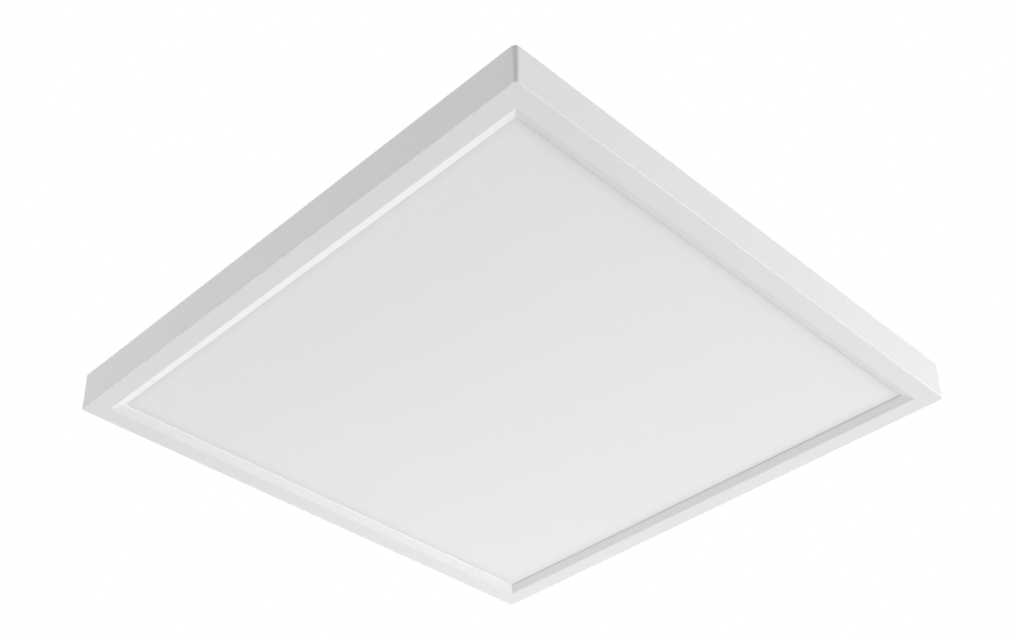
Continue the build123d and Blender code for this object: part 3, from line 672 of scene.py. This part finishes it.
def satin_paint(name, base, peel=0.004):
    """Sprayed satin paint: fine orange peel, and a coat that is never quite even."""
    coat = new_finish(name)
    cloud = coat.noise(60, detail=3)
    skin = coat.noise(0.9)
    dust = coat.noise(0.25, detail=1)
    return coat.surface({
        "Base Color": coat.mottled(cloud, base, 0.985, 1.015),
        "Roughness": 0.28 + 0.06 * skin + 0.04 * cloud,
        "Normal": coat.bump(skin + 0.25 * dust, peel),
        "Specular IOR Level": 0.4,
    })


def opal_acrylic(name, base, dust, half, rim_width):
    """Extruded opal sheet: a matt skin, faint flow, a few specks of dust and a painted shade that darkens
    its rim beside the lip.
    """
    sheet = new_finish(name)
    flow = sheet.noise(40, stretch=(1, 0.15, 1))
    skin = sheet.noise(0.35)
    speck = sheet.cells(22) < 0.011
    tint = sheet.mottled(flow, base, 0.99, 1.01)
    # Painted shade: the colour darkens towards the rim, where the frame's lip shades the sheet
    shaded = sheet.between(0.10 * sheet.rim(half, rim_width), tint, BLACK)
    return sheet.surface({
        "Base Color": sheet.between(0.18 * speck, shaded, dust),
        "Roughness": 0.46 + 0.10 * skin,
        "Normal": sheet.bump(skin, 0.002),
        "Specular IOR Level": 0.35,
    })


def clear_acrylic(name, base, dots):
    """Clear sheet printed with rows of light-scattering dots."""
    sheet = new_finish(name)
    dot = sheet.cells(2.2) < 0.3
    haze = sheet.noise(30)
    return sheet.surface({
        "Base Color": sheet.between(dot, base, dots),
        "Roughness": 0.06 + 0.5 * dot + 0.04 * haze,
        "Transmission Weight": 0.8,
        "IOR": 1.49,
    })


def matt_sheet(name, base, grain):
    """Plain sheet or tape with a faint tooth."""
    sheet = new_finish(name)
    tooth = sheet.noise(grain, detail=3)
    return sheet.surface({
        "Base Color": sheet.mottled(tooth, base, 0.94, 1.04),
        "Roughness": 0.6 + 0.2 * tooth,
        "Normal": sheet.bump(tooth, 0.02 * grain),
    })


def closed_foam(name, base):
    """Closed-cell foam."""
    foam = new_finish(name)
    cell = foam.cells(0.8)
    return foam.surface({
        "Base Color": foam.mottled(cell, base, 1.05, 0.86),
        "Roughness": 0.8 + 0.1 * cell,
        "Normal": foam.bump(1 - cell, 0.1),
    })


def galvanised(name, base):
    """Hot-dipped zinc: spangled crystals, dull streaks and fine scratches."""
    zinc = new_finish(name)
    crystal = zinc.cells(3.2, "Color")
    tone = zinc.node("ShaderNodeSeparateColor", None, {"Color": crystal})
    streak = zinc.noise(9, detail=4, stretch=(0.2, 1, 1))
    scratch = zinc.noise(0.12, detail=1, stretch=(0.01, 1, 1))
    return zinc.surface({
        "Base Color": zinc.mottled(0.55 * tone + 0.45 * streak, base, 0.84, 1.10),
        "Metallic": 1.0,
        "Roughness": 0.34 + 0.08 * tone + 0.12 * streak,
        "Normal": zinc.bump(scratch, 0.003),
    })


def plated_steel(name, base):
    """Bright zinc plate on small turned parts, with worn patches."""
    plate = new_finish(name)
    worn = plate.noise(1.4, detail=4)
    line = plate.noise(0.08, detail=1, stretch=(1, 1, 0.1))
    return plate.surface({
        "Base Color": plate.mottled(worn, base, 0.7, 1.15),
        "Metallic": 1.0,
        "Roughness": 0.24 + 0.22 * worn,
        "Normal": plate.bump(line, 0.003),
    })


def spring_steel(name, base):
    """Rolled spring strip: a blue-grey skin with rolling lines across the strip."""
    strip = new_finish(name)
    roll = strip.noise(0.2, stretch=(1, 0.01, 1))
    heat = strip.noise(7, detail=3)
    return strip.surface({
        "Base Color": strip.mottled(0.6 * heat + 0.4 * roll, base, 0.7, 1.2),
        "Metallic": 1.0,
        "Roughness": 0.22 + 0.18 * roll + 0.08 * heat,
        "Normal": strip.bump(roll, 0.002),
    })


def stamped_brass(name, base):
    brass = new_finish(name)
    stain = brass.noise(2, detail=4)
    return brass.surface({
        "Base Color": brass.mottled(stain, base, 0.6, 1.2),
        "Metallic": 1.0,
        "Roughness": 0.2 + 0.25 * stain,
    })


def moulded_plastic(name, base, roughness, spark=0.006):
    """Moulded plastic with the spark-eroded grain of its tool and faint flow marks."""
    moulding = new_finish(name)
    grain = moulding.noise(0.22)
    flow = moulding.noise(12, detail=3)
    return moulding.surface({
        "Base Color": moulding.mottled(0.7 * flow + 0.3 * grain, base, 0.95, 1.05),
        "Roughness": roughness + 0.08 * grain + 0.05 * flow,
        "Normal": moulding.bump(grain, spark),
    })


def lead_skin(name, base):
    """Soft insulation with faint die lines and dusty patches."""
    skin = new_finish(name)
    die = skin.noise(0.15, detail=1, stretch=(0.02, 1, 1))
    dusty = skin.noise(8, detail=3)
    return skin.surface({
        "Base Color": skin.mottled(dusty, base, 0.9, 1.12),
        "Roughness": 0.34 + 0.12 * dusty + 0.06 * die,
        "Normal": skin.bump(die, 0.003),
    })


def soft_rubber(name, base):
    rubber = new_finish(name)
    bloom = rubber.noise(5, detail=4)
    tooth = rubber.noise(0.2)
    return rubber.surface({
        "Base Color": rubber.mottled(bloom, base, 0.8, 1.9),
        "Roughness": 0.62 + 0.18 * bloom,
        "Normal": rubber.bump(tooth, 0.01),
    })


def circuit_board(name, base, track):
    """Solder mask with paler tracks under it."""
    board = new_finish(name)
    run = board.bands(1.6, "Y") > 0.62
    branch = board.cells(7) > 0.42
    weave = board.noise(0.4, detail=1)
    mask = board.mottled(weave, base, 0.92, 1.06)
    return board.surface({
        "Base Color": board.between(run * branch, mask, track),
        "Roughness": 0.30 + 0.12 * weave,
        "Normal": board.bump(run * branch, 0.02),
    })


def granular(name, base, grain, roughness):
    """Pressed powder, such as ferrite or an LED's phosphor."""
    body = new_finish(name)
    powder = body.noise(grain, detail=4)
    return body.surface({
        "Base Color": body.mottled(powder, base, 0.82, 1.2),
        "Roughness": roughness + 0.15 * powder,
        "Normal": body.bump(powder, 0.1 * grain),
    })


def wound_tape(name, base):
    """Tape wound over the transformer's winding, one turn over the next."""
    tape = new_finish(name)
    turn = tape.bands(1.1, "Y")
    crease = tape.noise(2, detail=3)
    return tape.surface({
        "Base Color": tape.mottled(0.5 * turn + 0.5 * crease, base, 0.8, 1.1),
        "Roughness": 0.22 + 0.2 * crease,
        "Normal": tape.bump(turn, 0.04),
    })


# One operator for each piece or group of like pieces


class LightOperator:
    """What the operators share."""

    bl_options = {"REGISTER", "UNDO"}

    @property
    def sizes(self):
        return bpy.context.scene.ceiling_light.sizes

    @property
    def colours(self):
        return bpy.context.scene.ceiling_light.colours


class CEILINGLIGHT_OT_front_frame(LightOperator, bpy.types.Operator):
    """Round the visible edges of the painted frame and close its lip"""

    bl_idname = "ceiling_light.front_frame"
    bl_label = "Front frame"

    def tighten(self, front, half):
        """Draw the walls further down, and round them into the bezel with a smaller radius."""
        radius = self.sizes.front_edge
        soft_end = front + self.sizes.soft_edge

        def outside(point):
            return max(abs(point.x), abs(point.y)) > half - self.sizes.bezel_width / 2

        pick("faces", lambda point: outside(point) and point.z < soft_end)
        bpy.ops.mesh.delete(type="FACE")
        pick("edges", lambda point: outside(point) and soft_end - radius < point.z < soft_end)
        wall_end = selected_points()[0].z
        wall_half = max(point.x for point in selected_points())
        rings = [(wall_half, wall_end)]
        for step in range(EDGE_STEPS + 1):
            turn = step / EDGE_STEPS * pi / 2
            rings.append((half - radius * (1 - cos(turn)), front + radius * (1 - sin(turn))))
        extrude_rings(rings)
        pick("edges", lambda point: outside(point) and abs(point.z - front) < NEAR)
        bpy.ops.mesh.fill(use_beauty=False)
        pick("faces", at_height(front))
        bpy.ops.mesh.dissolve_limited(angle_limit=FLAT_ANGLE)
        face_outwards()

    def close_lip(self, throat, bevel_top):
        """Slope the lip in from its front edge to the diffuser, so that no dark gap shows beside it."""
        sizes = self.sizes
        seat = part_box("diffuser")[0].z
        for half, height, new_half in (
            (throat + sizes.lip_relief, seat, throat - sizes.lip_lean),
            (throat, bevel_top, throat + sizes.lip_edge),
        ):
            pick("edges", on_square(half, height))
            widen(new_half / half, height)

    def execute(self, context):
        sizes = self.sizes
        low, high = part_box("front_frame")
        front_half = high.x - sizes.wall_draft
        mouth = front_half - sizes.bezel_width
        throat = mouth - sizes.bevel_width
        bevel_top = low.z + sizes.bevel_depth
        piece = cad_copy("front_frame", "painted_frame")
        with editing(piece):
            self.tighten(low.z, front_half)
            self.close_lip(throat, bevel_top)
            pick("edges", on_square(mouth, low.z))
            round_off(sizes.frame_edge)
            pick("edges", on_square(throat + sizes.lip_edge, bevel_top))
            round_off(sizes.frame_edge / 2)
            pick("edges", at_height(high.z), corners_only=True)
            round_off(sizes.frame_edge)
            pick("edges", on_mitre(mouth + sizes.frame_edge))
            bpy.ops.mesh.mark_sharp()
        white = satin_paint("satin_white_paint", self.colours.paint)
        finish_piece(piece, "panel", "frame_white", white, "front_frame")
        return {"FINISHED"}


class CEILINGLIGHT_OT_light_engine(LightOperator, bpy.types.Operator):
    """Finish the diffuser and the stack behind it"""

    bl_idname = "ceiling_light.light_engine"
    bl_label = "Diffuser, light guide and LED boards"

    def execute(self, context):
        colours = self.colours
        sizes = self.sizes
        border = sizes.wall_draft + sizes.bezel_width + sizes.bevel_width + sizes.lip_lean
        shown_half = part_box("front_frame")[1].x - border
        opal = opal_acrylic("opal_acrylic", colours.opal, colours.dust, shown_half, sizes.shaded_rim)
        paint_node("diffuser", opal)
        paint_node("light_guide", clear_acrylic("dotted_acrylic", colours.acrylic, colours.dots))
        paint_node("reflector_sheet", matt_sheet("reflector_film", colours.reflector, grain=0.6))
        paint_node("foam_pad", closed_foam("closed_cell_foam", colours.foam))
        tape = matt_sheet("thermal_tape", colours.tape, grain=0.3)
        board = circuit_board("white_solder_mask", colours.led_board, colours.led_track)
        phosphor = granular("yellow_phosphor", colours.phosphor, grain=0.1, roughness=0.25)
        for side in ("left", "right"):
            paint_node(f"thermal_tape_{side}", tape)
            paint_node(f"led_board_{side}", board)
            paint_node(f"led_chips_{side}", phosphor)
        return {"FINISHED"}


class CEILINGLIGHT_OT_back_plate(LightOperator, bpy.types.Operator):
    """Press the back plate's beads with round edges"""

    bl_idname = "ceiling_light.back_plate"
    bl_label = "Back plate"

    def execute(self, context):
        bead_top = at_height(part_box("back_plate")[1].z)
        piece = softened("back_plate", "pressed_back_plate", bead_top, self.sizes.bead_edge)
        white = satin_paint("plate_paint", self.colours.plate, peel=0.008)
        finish_piece(piece, "panel", "plate_white", white, "back_plate")
        return {"FINISHED"}


class CEILINGLIGHT_OT_fasteners(LightOperator, bpy.types.Operator):
    """Turn the pan-head screws and the blind rivets"""

    bl_idname = "ceiling_light.fasteners"
    bl_label = "Screws and rivets"

    def screw(self, name, seat, low):
        """One pan-head screw with a cross recess, its head on a seat."""
        sizes = self.sizes
        top = seat + sizes.screw_rise
        shank = sizes.screw_radius
        piece = turned(name, [
            (shank * SCREW_TIP, low),
            (shank, low + shank),
            (shank, seat),
            *rings_of(PAN_HEAD, sizes.screw_head, seat, sizes.screw_rise),
        ])
        for turn in (0, pi / 2):
            cut(piece, self.recess_arm(top, turn))
        return piece

    def recess_arm(self, top, turn):
        """One arm of the cross recess, narrower at its foot."""
        half = Vector((self.sizes.recess_length, self.sizes.recess_width, 0)) / 2
        foot = top - self.sizes.recess_depth
        arm = add_box("recess_arm", (-half.x, -half.y, foot), (half.x, half.y, top + MILLIMETRE))
        with editing(arm):
            pick("faces", at_height(foot))
            bpy.ops.transform.resize(value=RECESS_FOOT, center_override=(0, 0, foot))
            bpy.ops.mesh.select_all(action="SELECT")
            bpy.ops.transform.rotate(value=turn, orient_axis="Z", center_override=(0, 0, foot))
        return arm

    def rivet(self, name, seat, low):
        """One blind rivet: a domed head with the hole that its pin leaves."""
        sizes = self.sizes
        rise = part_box("clip_rivets")[1].z - seat
        return turned(name, [
            (sizes.rivet_radius, low),
            (sizes.rivet_radius, seat),
            *rings_of(RIVET_HEAD, sizes.rivet_head, seat, rise),
            *rings_of(RIVET_HOLE, sizes.rivet_hole, seat, rise),
        ])

    def screw_group(self, node, name, places, material):
        low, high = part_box(node)
        seat = high.z - self.sizes.screw_rise
        piece = copies(self.screw(name, seat, low.z), places)
        finish_piece(piece, "panel", "zinc_steel", material, node)

    def execute(self, context):
        sizes = self.sizes
        steel = plated_steel("bright_zinc_plate", self.colours.zinc)
        low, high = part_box("back_plate_screws")
        reach = (high.y - low.y) / 2 - sizes.screw_head
        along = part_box("front_frame")[1].x - sizes.screw_end
        ring = [
            Matrix.Rotation(turn * pi / 2, 3, "Z") @ Vector((side * along, reach, 0))
            for turn in range(4)
            for side in (-1, 1)
        ]
        self.screw_group("back_plate_screws", "plate_screws", ring, steel)

        low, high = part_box("driver_screws")
        ear = Vector((high.x - sizes.screw_head, (low.y + high.y) / 2, 0))
        ears = [Vector((side * ear.x, ear.y, 0)) for side in (-1, 1)]
        self.screw_group("driver_screws", "ear_screws", ears, steel)

        low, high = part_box("terminal_screw")
        middle = (low + high) / 2
        self.screw_group("terminal_screw", "block_screw", [Vector((middle.x, middle.y, 0))], steel)

        low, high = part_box("clip_rivets")
        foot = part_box("back_plate")[0].z
        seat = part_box("spring_clip_left")[0].z + sizes.clip_sheet
        reach = high.x - sizes.rivet_head
        places = [Vector((side * reach, 0, 0)) for side in (-1, 1)]
        rivets = copies(self.rivet("blind_rivets", seat, foot), places)
        finish_piece(rivets, "panel", "zinc_steel", steel, "clip_rivets")
        return {"FINISHED"}


class CEILINGLIGHT_OT_bracket(LightOperator, bpy.types.Operator):
    """Finish the ceiling bracket and turn its grommet"""

    bl_idname = "ceiling_light.bracket"
    bl_label = "Ceiling bracket and grommet"

    def grommet(self):
        """A rubber ring with soft lips, turned round the cable hole."""
        low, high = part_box("bracket_grommet")
        bore = self.sizes.grommet_bore
        groove = self.sizes.grommet_hole
        flange = high.x
        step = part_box("ceiling_bracket")[1].z - self.sizes.bracket_sheet
        lip = self.sizes.grommet_lip
        piece = turned("cable_grommet", [
            (bore + lip, low.z),
            (flange - lip, low.z),
            (flange, low.z + lip),
            (flange, step - lip / 2),
            (flange - lip / 2, step),
            (groove, step),
            (groove, high.z - lip / 2),
            (groove - lip / 2, high.z),
            (bore + lip, high.z),
            (bore, high.z - lip),
            (bore, low.z + lip),
            (bore + lip, low.z),
        ], GROMMET_SIDES)
        with editing(piece):
            pick("faces", lambda point: point.xy.length < bore + lip + NEAR and point.z < low.z + NEAR)
            bpy.ops.mesh.delete(type="FACE")
            face_outwards(weld=True)
        return piece

    def execute(self, context):
        top = at_height(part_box("ceiling_bracket")[1].z)
        piece = softened("ceiling_bracket", "galvanised_bracket", top, self.sizes.pressed_edge)
        zinc = galvanised("spangled_zinc", self.colours.zinc)
        finish_piece(piece, "bracket", "zinc_steel", zinc, "ceiling_bracket")
        rubber = soft_rubber("black_rubber", self.colours.rubber)
        finish_piece(self.grommet(), "bracket", "rubber_black", rubber, "bracket_grommet")
        return {"FINISHED"}


class CEILINGLIGHT_OT_spring_clips(LightOperator, bpy.types.Operator):
    """Smooth the bends of the spring clips"""

    bl_idname = "ceiling_light.spring_clips"
    bl_label = "Spring clips"

    def execute(self, context):
        steel = spring_steel("rolled_spring_steel", self.colours.spring)
        for side in ("left", "right"):
            piece = cad_copy(f"spring_clip_{side}", f"leaf_clip_{side}")
            finish_piece(piece, "panel", "spring_steel", steel, f"spring_clip_{side}")
        return {"FINISHED"}


class CEILINGLIGHT_OT_driver(LightOperator, bpy.types.Operator):
    """Soften the driver's case and finish what is in it"""

    bl_idname = "ceiling_light.driver"
    bl_label = "LED driver"

    def tray(self):
        """The case's tray, with the ends of its ears rounded."""
        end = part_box("driver_base")[1].x
        piece = cad_copy("driver_base", "driver_tray")
        with editing(piece):
            pick_upright(lambda point: abs(abs(point.x) - end) < NEAR)
            round_off(self.sizes.ear_corner, CORNER_STEPS)
        return piece

    def lid(self):
        """The case's lid: a round-cornered shell with a sunk field in its roof."""
        sizes = self.sizes
        low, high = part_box("driver_cover")
        piece = add_box("driver_lid", low, high)
        with editing(piece):
            pick_upright(anywhere)
            round_off(sizes.case_corner, CORNER_STEPS)
            pick("edges", at_height(high.z), corners_only=True)
            round_off(sizes.case_edge)
            pick("faces", at_height(high.z))
            bpy.ops.mesh.inset(thickness=sizes.cover_field, depth=0)
            bpy.ops.mesh.inset(thickness=sizes.cover_sink, depth=-sizes.cover_sink)
            pick("faces", at_height(low.z))
            bpy.ops.mesh.inset(thickness=sizes.case_wall, depth=0)
            hollow = high.z - low.z - sizes.case_wall - sizes.cover_sink
            extrude(0, 0, hollow)
            face_outwards()
        return piece

    def execute(self, context):
        colours = self.colours
        plastic = moulded_plastic("driver_case_plastic", colours.case, roughness=0.42)
        finish_piece(self.lid(), "panel", "case_white", plastic, "driver_cover")
        finish_piece(self.tray(), "panel", "case_white", plastic, "driver_base")
        green = circuit_board("green_solder_mask", colours.circuit, colours.circuit_track)
        paint_node("driver_board", green)
        ferrite = granular("ferrite", colours.ferrite, grain=0.3, roughness=0.55)
        paint_node("transformer_core", ferrite)
        paint_node("driver_inductor", ferrite)
        paint_node("transformer_winding", wound_tape("winding_tape", colours.winding))
        sleeve = moulded_plastic("capacitor_sleeve", colours.sleeve, roughness=0.2, spark=0.002)
        paint_node("driver_capacitors", sleeve)
        paint_node("driver_chips", moulded_plastic("chip_moulding", colours.chip, roughness=0.5))
        return {"FINISHED"}


class CEILINGLIGHT_OT_terminal_block(LightOperator, bpy.types.Operator):
    """Soften the terminal block and slot its buttons"""

    bl_idname = "ceiling_light.terminal_block"
    bl_label = "Terminal block"

    def button(self, pole):
        """A release button with a screwdriver slot across its top."""
        node = f"terminal_button_{pole}"
        low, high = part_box(node)
        middle = (low + high) / 2
        piece = cad_copy(node, f"release_button_{pole}")
        half = self.sizes.button_slot / 2
        cut(piece, add_box(
            "slot_cutter",
            (low.x - MILLIMETRE, middle.y - half, high.z - self.sizes.button_sink),
            (high.x + MILLIMETRE, middle.y + half, high.z + MILLIMETRE),
        ))
        return piece

    def bend_spring(self, piece, pole):
        """Give a spring its own mesh; how far its pressed button reaches down, and the share of the
        spring below that, are worked out but not used.
        """
        press = next(joint for joint in frame["joints"] if joint["name"] == f"{pole}_button_press")
        low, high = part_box(f"terminal_spring_{pole}")
        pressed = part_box(f"terminal_button_{pole}")[0].z - max(press["range_m"]) - self.sizes.spring_gap
        keep = (pressed - low.z) / (high.z - low.z)
        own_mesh(piece)

    def execute(self, context):
        colours = self.colours
        grey = moulded_plastic("terminal_moulding", colours.terminal, roughness=0.38)
        outside = on_box_edge(*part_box("terminal_housing"))
        housing = softened("terminal_housing", "terminal_body", outside, self.sizes.moulded_edge)
        finish_piece(housing, "panel", "terminal_grey", grey, "terminal_housing")
        paint_node("terminal_base", grey)
        paint_node("terminal_contacts", stamped_brass("stamped_brass", colours.brass))
        steel = spring_steel("terminal_spring_steel", colours.spring)
        orange = moulded_plastic("button_moulding", colours.button, roughness=0.32)
        for pole in ("line", "neutral"):
            spring = cad_copy(f"terminal_spring_{pole}", f"contact_spring_{pole}")
            finish_piece(spring, "panel", "spring_steel", steel, f"terminal_spring_{pole}")
            self.bend_spring(spring, pole)
            piece = self.button(pole)
            finish_piece(piece, f"{pole}_button", "button_orange", orange, f"terminal_button_{pole}")
        return {"FINISHED"}


class CEILINGLIGHT_OT_leads(LightOperator, bpy.types.Operator):
    """Draw the leads round, with their bushes and clips"""

    bl_idname = "ceiling_light.leads"
    bl_label = "Leads, bushes and clips"

    def straight_lead(self, node, name):
        """A supply lead, extruded along Y from its end."""
        low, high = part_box(node)
        middle = (low + high) / 2
        end = (middle.x, low.y, middle.z)
        piece = add_disc(name, SUPPLY_LEAD_SIDES, self.sizes.supply_lead, end, (pi / 2, 0, 0))
        with editing(piece):
            bpy.ops.mesh.select_all(action="SELECT")
            extrude(0, high.y - low.y, 0)
            face_outwards()
        return piece

    def bent_lead(self, node, side):
        """An LED lead: along X, round its bend, and down through the back plate."""
        low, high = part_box(node)
        radius = self.sizes.led_lead
        bend = self.sizes.led_bend
        y = (low.y + high.y) / 2
        z = high.z - radius
        start = side * (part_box("driver_cover")[1].x - self.sizes.lead_inside)
        bend_start = side * (high.x - radius - bend)
        piece = add_disc("led_lead", LED_LEAD_SIDES, radius, (start, y, z), (0, pi / 2, 0))
        with editing(piece):
            bpy.ops.mesh.select_all(action="SELECT")
            extrude(bend_start - start, 0, 0)
            middle = (bend_start, y, z - bend)
            bpy.ops.mesh.spin(steps=BEND_STEPS, angle=pi / 2, center=middle, axis=(0, -side, 0))
            extrude(0, 0, low.z - (z - bend))
            face_outwards(weld=True)
        return piece

    def bushes(self):
        """The rubber bushes that the LED leads go down through."""
        low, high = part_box("lead_grommets")
        radius = self.sizes.bush_radius
        flange = radius + self.sizes.bush_flange
        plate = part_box("back_plate")[0].z + self.sizes.plate_sheet
        rings = rings_of(BUSH_FLANGE, flange, plate, high.z - plate)
        bush = turned("lead_bushes", [(radius, low.z), (radius, plate), *rings])
        reach = high.x - flange
        middle = (low.y + high.y) / 2
        return copies(bush, [Vector((side * reach, middle, 0)) for side in (-1, 1)])

    def execute(self, context):
        colours = self.colours
        for pole, slot, base in (
            ("line", "lead_brown", colours.line),
            ("neutral", "lead_blue", colours.neutral),
        ):
            node = f"supply_lead_{pole}"
            piece = self.straight_lead(node, f"round_{node}")
            finish_piece(piece, "panel", slot, lead_skin(f"{pole}_insulation", base), node)
        for sign, slot, base in (
            ("positive", "lead_red", colours.positive),
            ("negative", "lead_black", colours.negative),
        ):
            node = f"led_leads_{sign}"
            piece = joined(f"round_{node}", [self.bent_lead(node, side) for side in (-1, 1)])
            finish_piece(piece, "panel", slot, lead_skin(f"{sign}_insulation", base), node)
        rubber = soft_rubber("bush_rubber", colours.rubber)
        finish_piece(self.bushes(), "panel", "rubber_black", rubber, "lead_grommets")
        clips = softened("lead_clips", "nylon_lead_clips", anywhere, self.sizes.pressed_edge)
        nylon = moulded_plastic("nylon", colours.nylon, roughness=0.4)
        finish_piece(clips, "panel", "clip_nylon", nylon, "lead_clips")
        return {"FINISHED"}


class CEILINGLIGHT_OT_stage(LightOperator, bpy.types.Operator):
    """Set the floor, the lamps, the soft light and the camera"""

    bl_idname = "ceiling_light.stage"
    bl_label = "Stage"

    def floor(self, stage):
        """A round floor that keeps the light's shadow and shows paler than it is lit."""
        piece = add_disc("floor", FLOOR_SIDES, stage.floor_radius, (0, 0, -stage.floor_drop))
        screed = new_finish("floor_paint")
        tint = screed.mottled(screed.noise(40, detail=3), self.colours.floor, 0.97, 1.02)
        matt = screed.node("ShaderNodeBsdfDiffuse", None, {"Color": tint})
        white = screed.node("ShaderNodeEmission", None, {"Color": WHITE, "Strength": 1.0})
        pale = screed.shader_between(stage.floor_white * self.seen(screed), matt, white)
        screed.node("ShaderNodeOutputMaterial", None, {"Surface": pale})
        paint(piece, screed.owner)

    def seen(self, tree):
        """1 for what the camera sees, straight or in a gloss or through glass, and 0 for light."""
        rays = [
            tree.node("ShaderNodeLightPath", output=f"Is {kind} Ray")
            for kind in ("Camera", "Glossy", "Transmission")
        ]
        return rays[0] + rays[1] + rays[2]

    def lamp(self, stage, role):
        """A square lamp that faces the middle of the light."""
        towards = Vector(getattr(stage, f"{role}_from")).normalized()
        deselect()
        bpy.ops.object.light_add(type="AREA", location=towards * getattr(stage, f"{role}_distance"))
        lamp = bpy.context.object
        lamp.name = f"{role}_lamp"
        lamp.rotation_euler = towards.to_track_quat("Z", "Y").to_euler()
        lamp.data.size = getattr(stage, f"{role}_size")
        lamp.data.energy = getattr(stage, f"{role}_power")
        lamp.visible_camera = False

    def camera(self, stage):
        deselect()
        bpy.ops.object.camera_add(location=stage.camera)
        camera = bpy.context.object
        sight = Vector(stage.target) - Vector(stage.camera)
        turn = sight.to_track_quat("-Z", "Y").to_matrix() @ Matrix.Rotation(stage.roll, 3, "Z")
        camera.rotation_euler = turn.to_euler()
        camera.data.lens = stage.lens
        camera.data.sensor_width = FILM_WIDTH
        bpy.context.scene.camera = camera

    def soft_light(self, stage):
        """A world that lights softly from all round and shows as white."""
        sky = Finish(bpy.data.worlds.new("soft_light"))
        soft = sky.node("ShaderNodeBackground", None, {"Color": WHITE, "Strength": stage.ambient})
        white = sky.node("ShaderNodeBackground", None, {"Color": WHITE, "Strength": 1.0})
        shown = sky.shader_between(self.seen(sky), soft, white)
        sky.node("ShaderNodeOutputWorld", None, {"Surface": shown})
        bpy.context.scene.world = sky.owner

    def execute(self, context):
        stage = context.scene.ceiling_light.stage
        self.floor(stage)
        for role in ("key", "fill", "face", "back"):
            self.lamp(stage, role)
        self.soft_light(stage)
        self.camera(stage)
        context.scene.view_settings.view_transform = "Standard"
        return {"FINISHED"}


OPERATORS = (
    CEILINGLIGHT_OT_front_frame,
    CEILINGLIGHT_OT_light_engine,
    CEILINGLIGHT_OT_back_plate,
    CEILINGLIGHT_OT_fasteners,
    CEILINGLIGHT_OT_bracket,
    CEILINGLIGHT_OT_spring_clips,
    CEILINGLIGHT_OT_driver,
    CEILINGLIGHT_OT_terminal_block,
    CEILINGLIGHT_OT_leads,
    CEILINGLIGHT_OT_stage,
)


class CEILINGLIGHT_PT_sidebar(bpy.types.Panel):
    """Lists the pieces, and the sizes, colours and stage that they use"""

    bl_label = "Ceiling light"
    bl_idname = "CEILINGLIGHT_PT_sidebar"
    bl_space_type = "VIEW_3D"
    bl_region_type = "UI"
    bl_category = "Ceiling light"

    def draw(self, context):
        for operator in OPERATORS:
            self.layout.operator(operator.bl_idname)
        light = context.scene.ceiling_light
        for group in (light.sizes, light.colours, light.stage):
            box = self.layout.box()
            for name in group.bl_rna.properties.keys():
                if name not in ("rna_type", "name"):
                    box.prop(group, name)


CLASSES = (LightSizes, LightColours, LightStage, CeilingLight, *OPERATORS, CEILINGLIGHT_PT_sidebar)


def register():
    for cls in CLASSES:
        bpy.utils.register_class(cls)
    bpy.types.Scene.ceiling_light = bpy.props.PointerProperty(type=CeilingLight)


def unregister():
    del bpy.types.Scene.ceiling_light
    for cls in reversed(CLASSES):
        bpy.utils.unregister_class(cls)


def main():
    register()
    for operator in OPERATORS:
        group, name = operator.bl_idname.split(".")
        getattr(getattr(bpy.ops, group), name)()


if __name__ == "__main__":
    main()
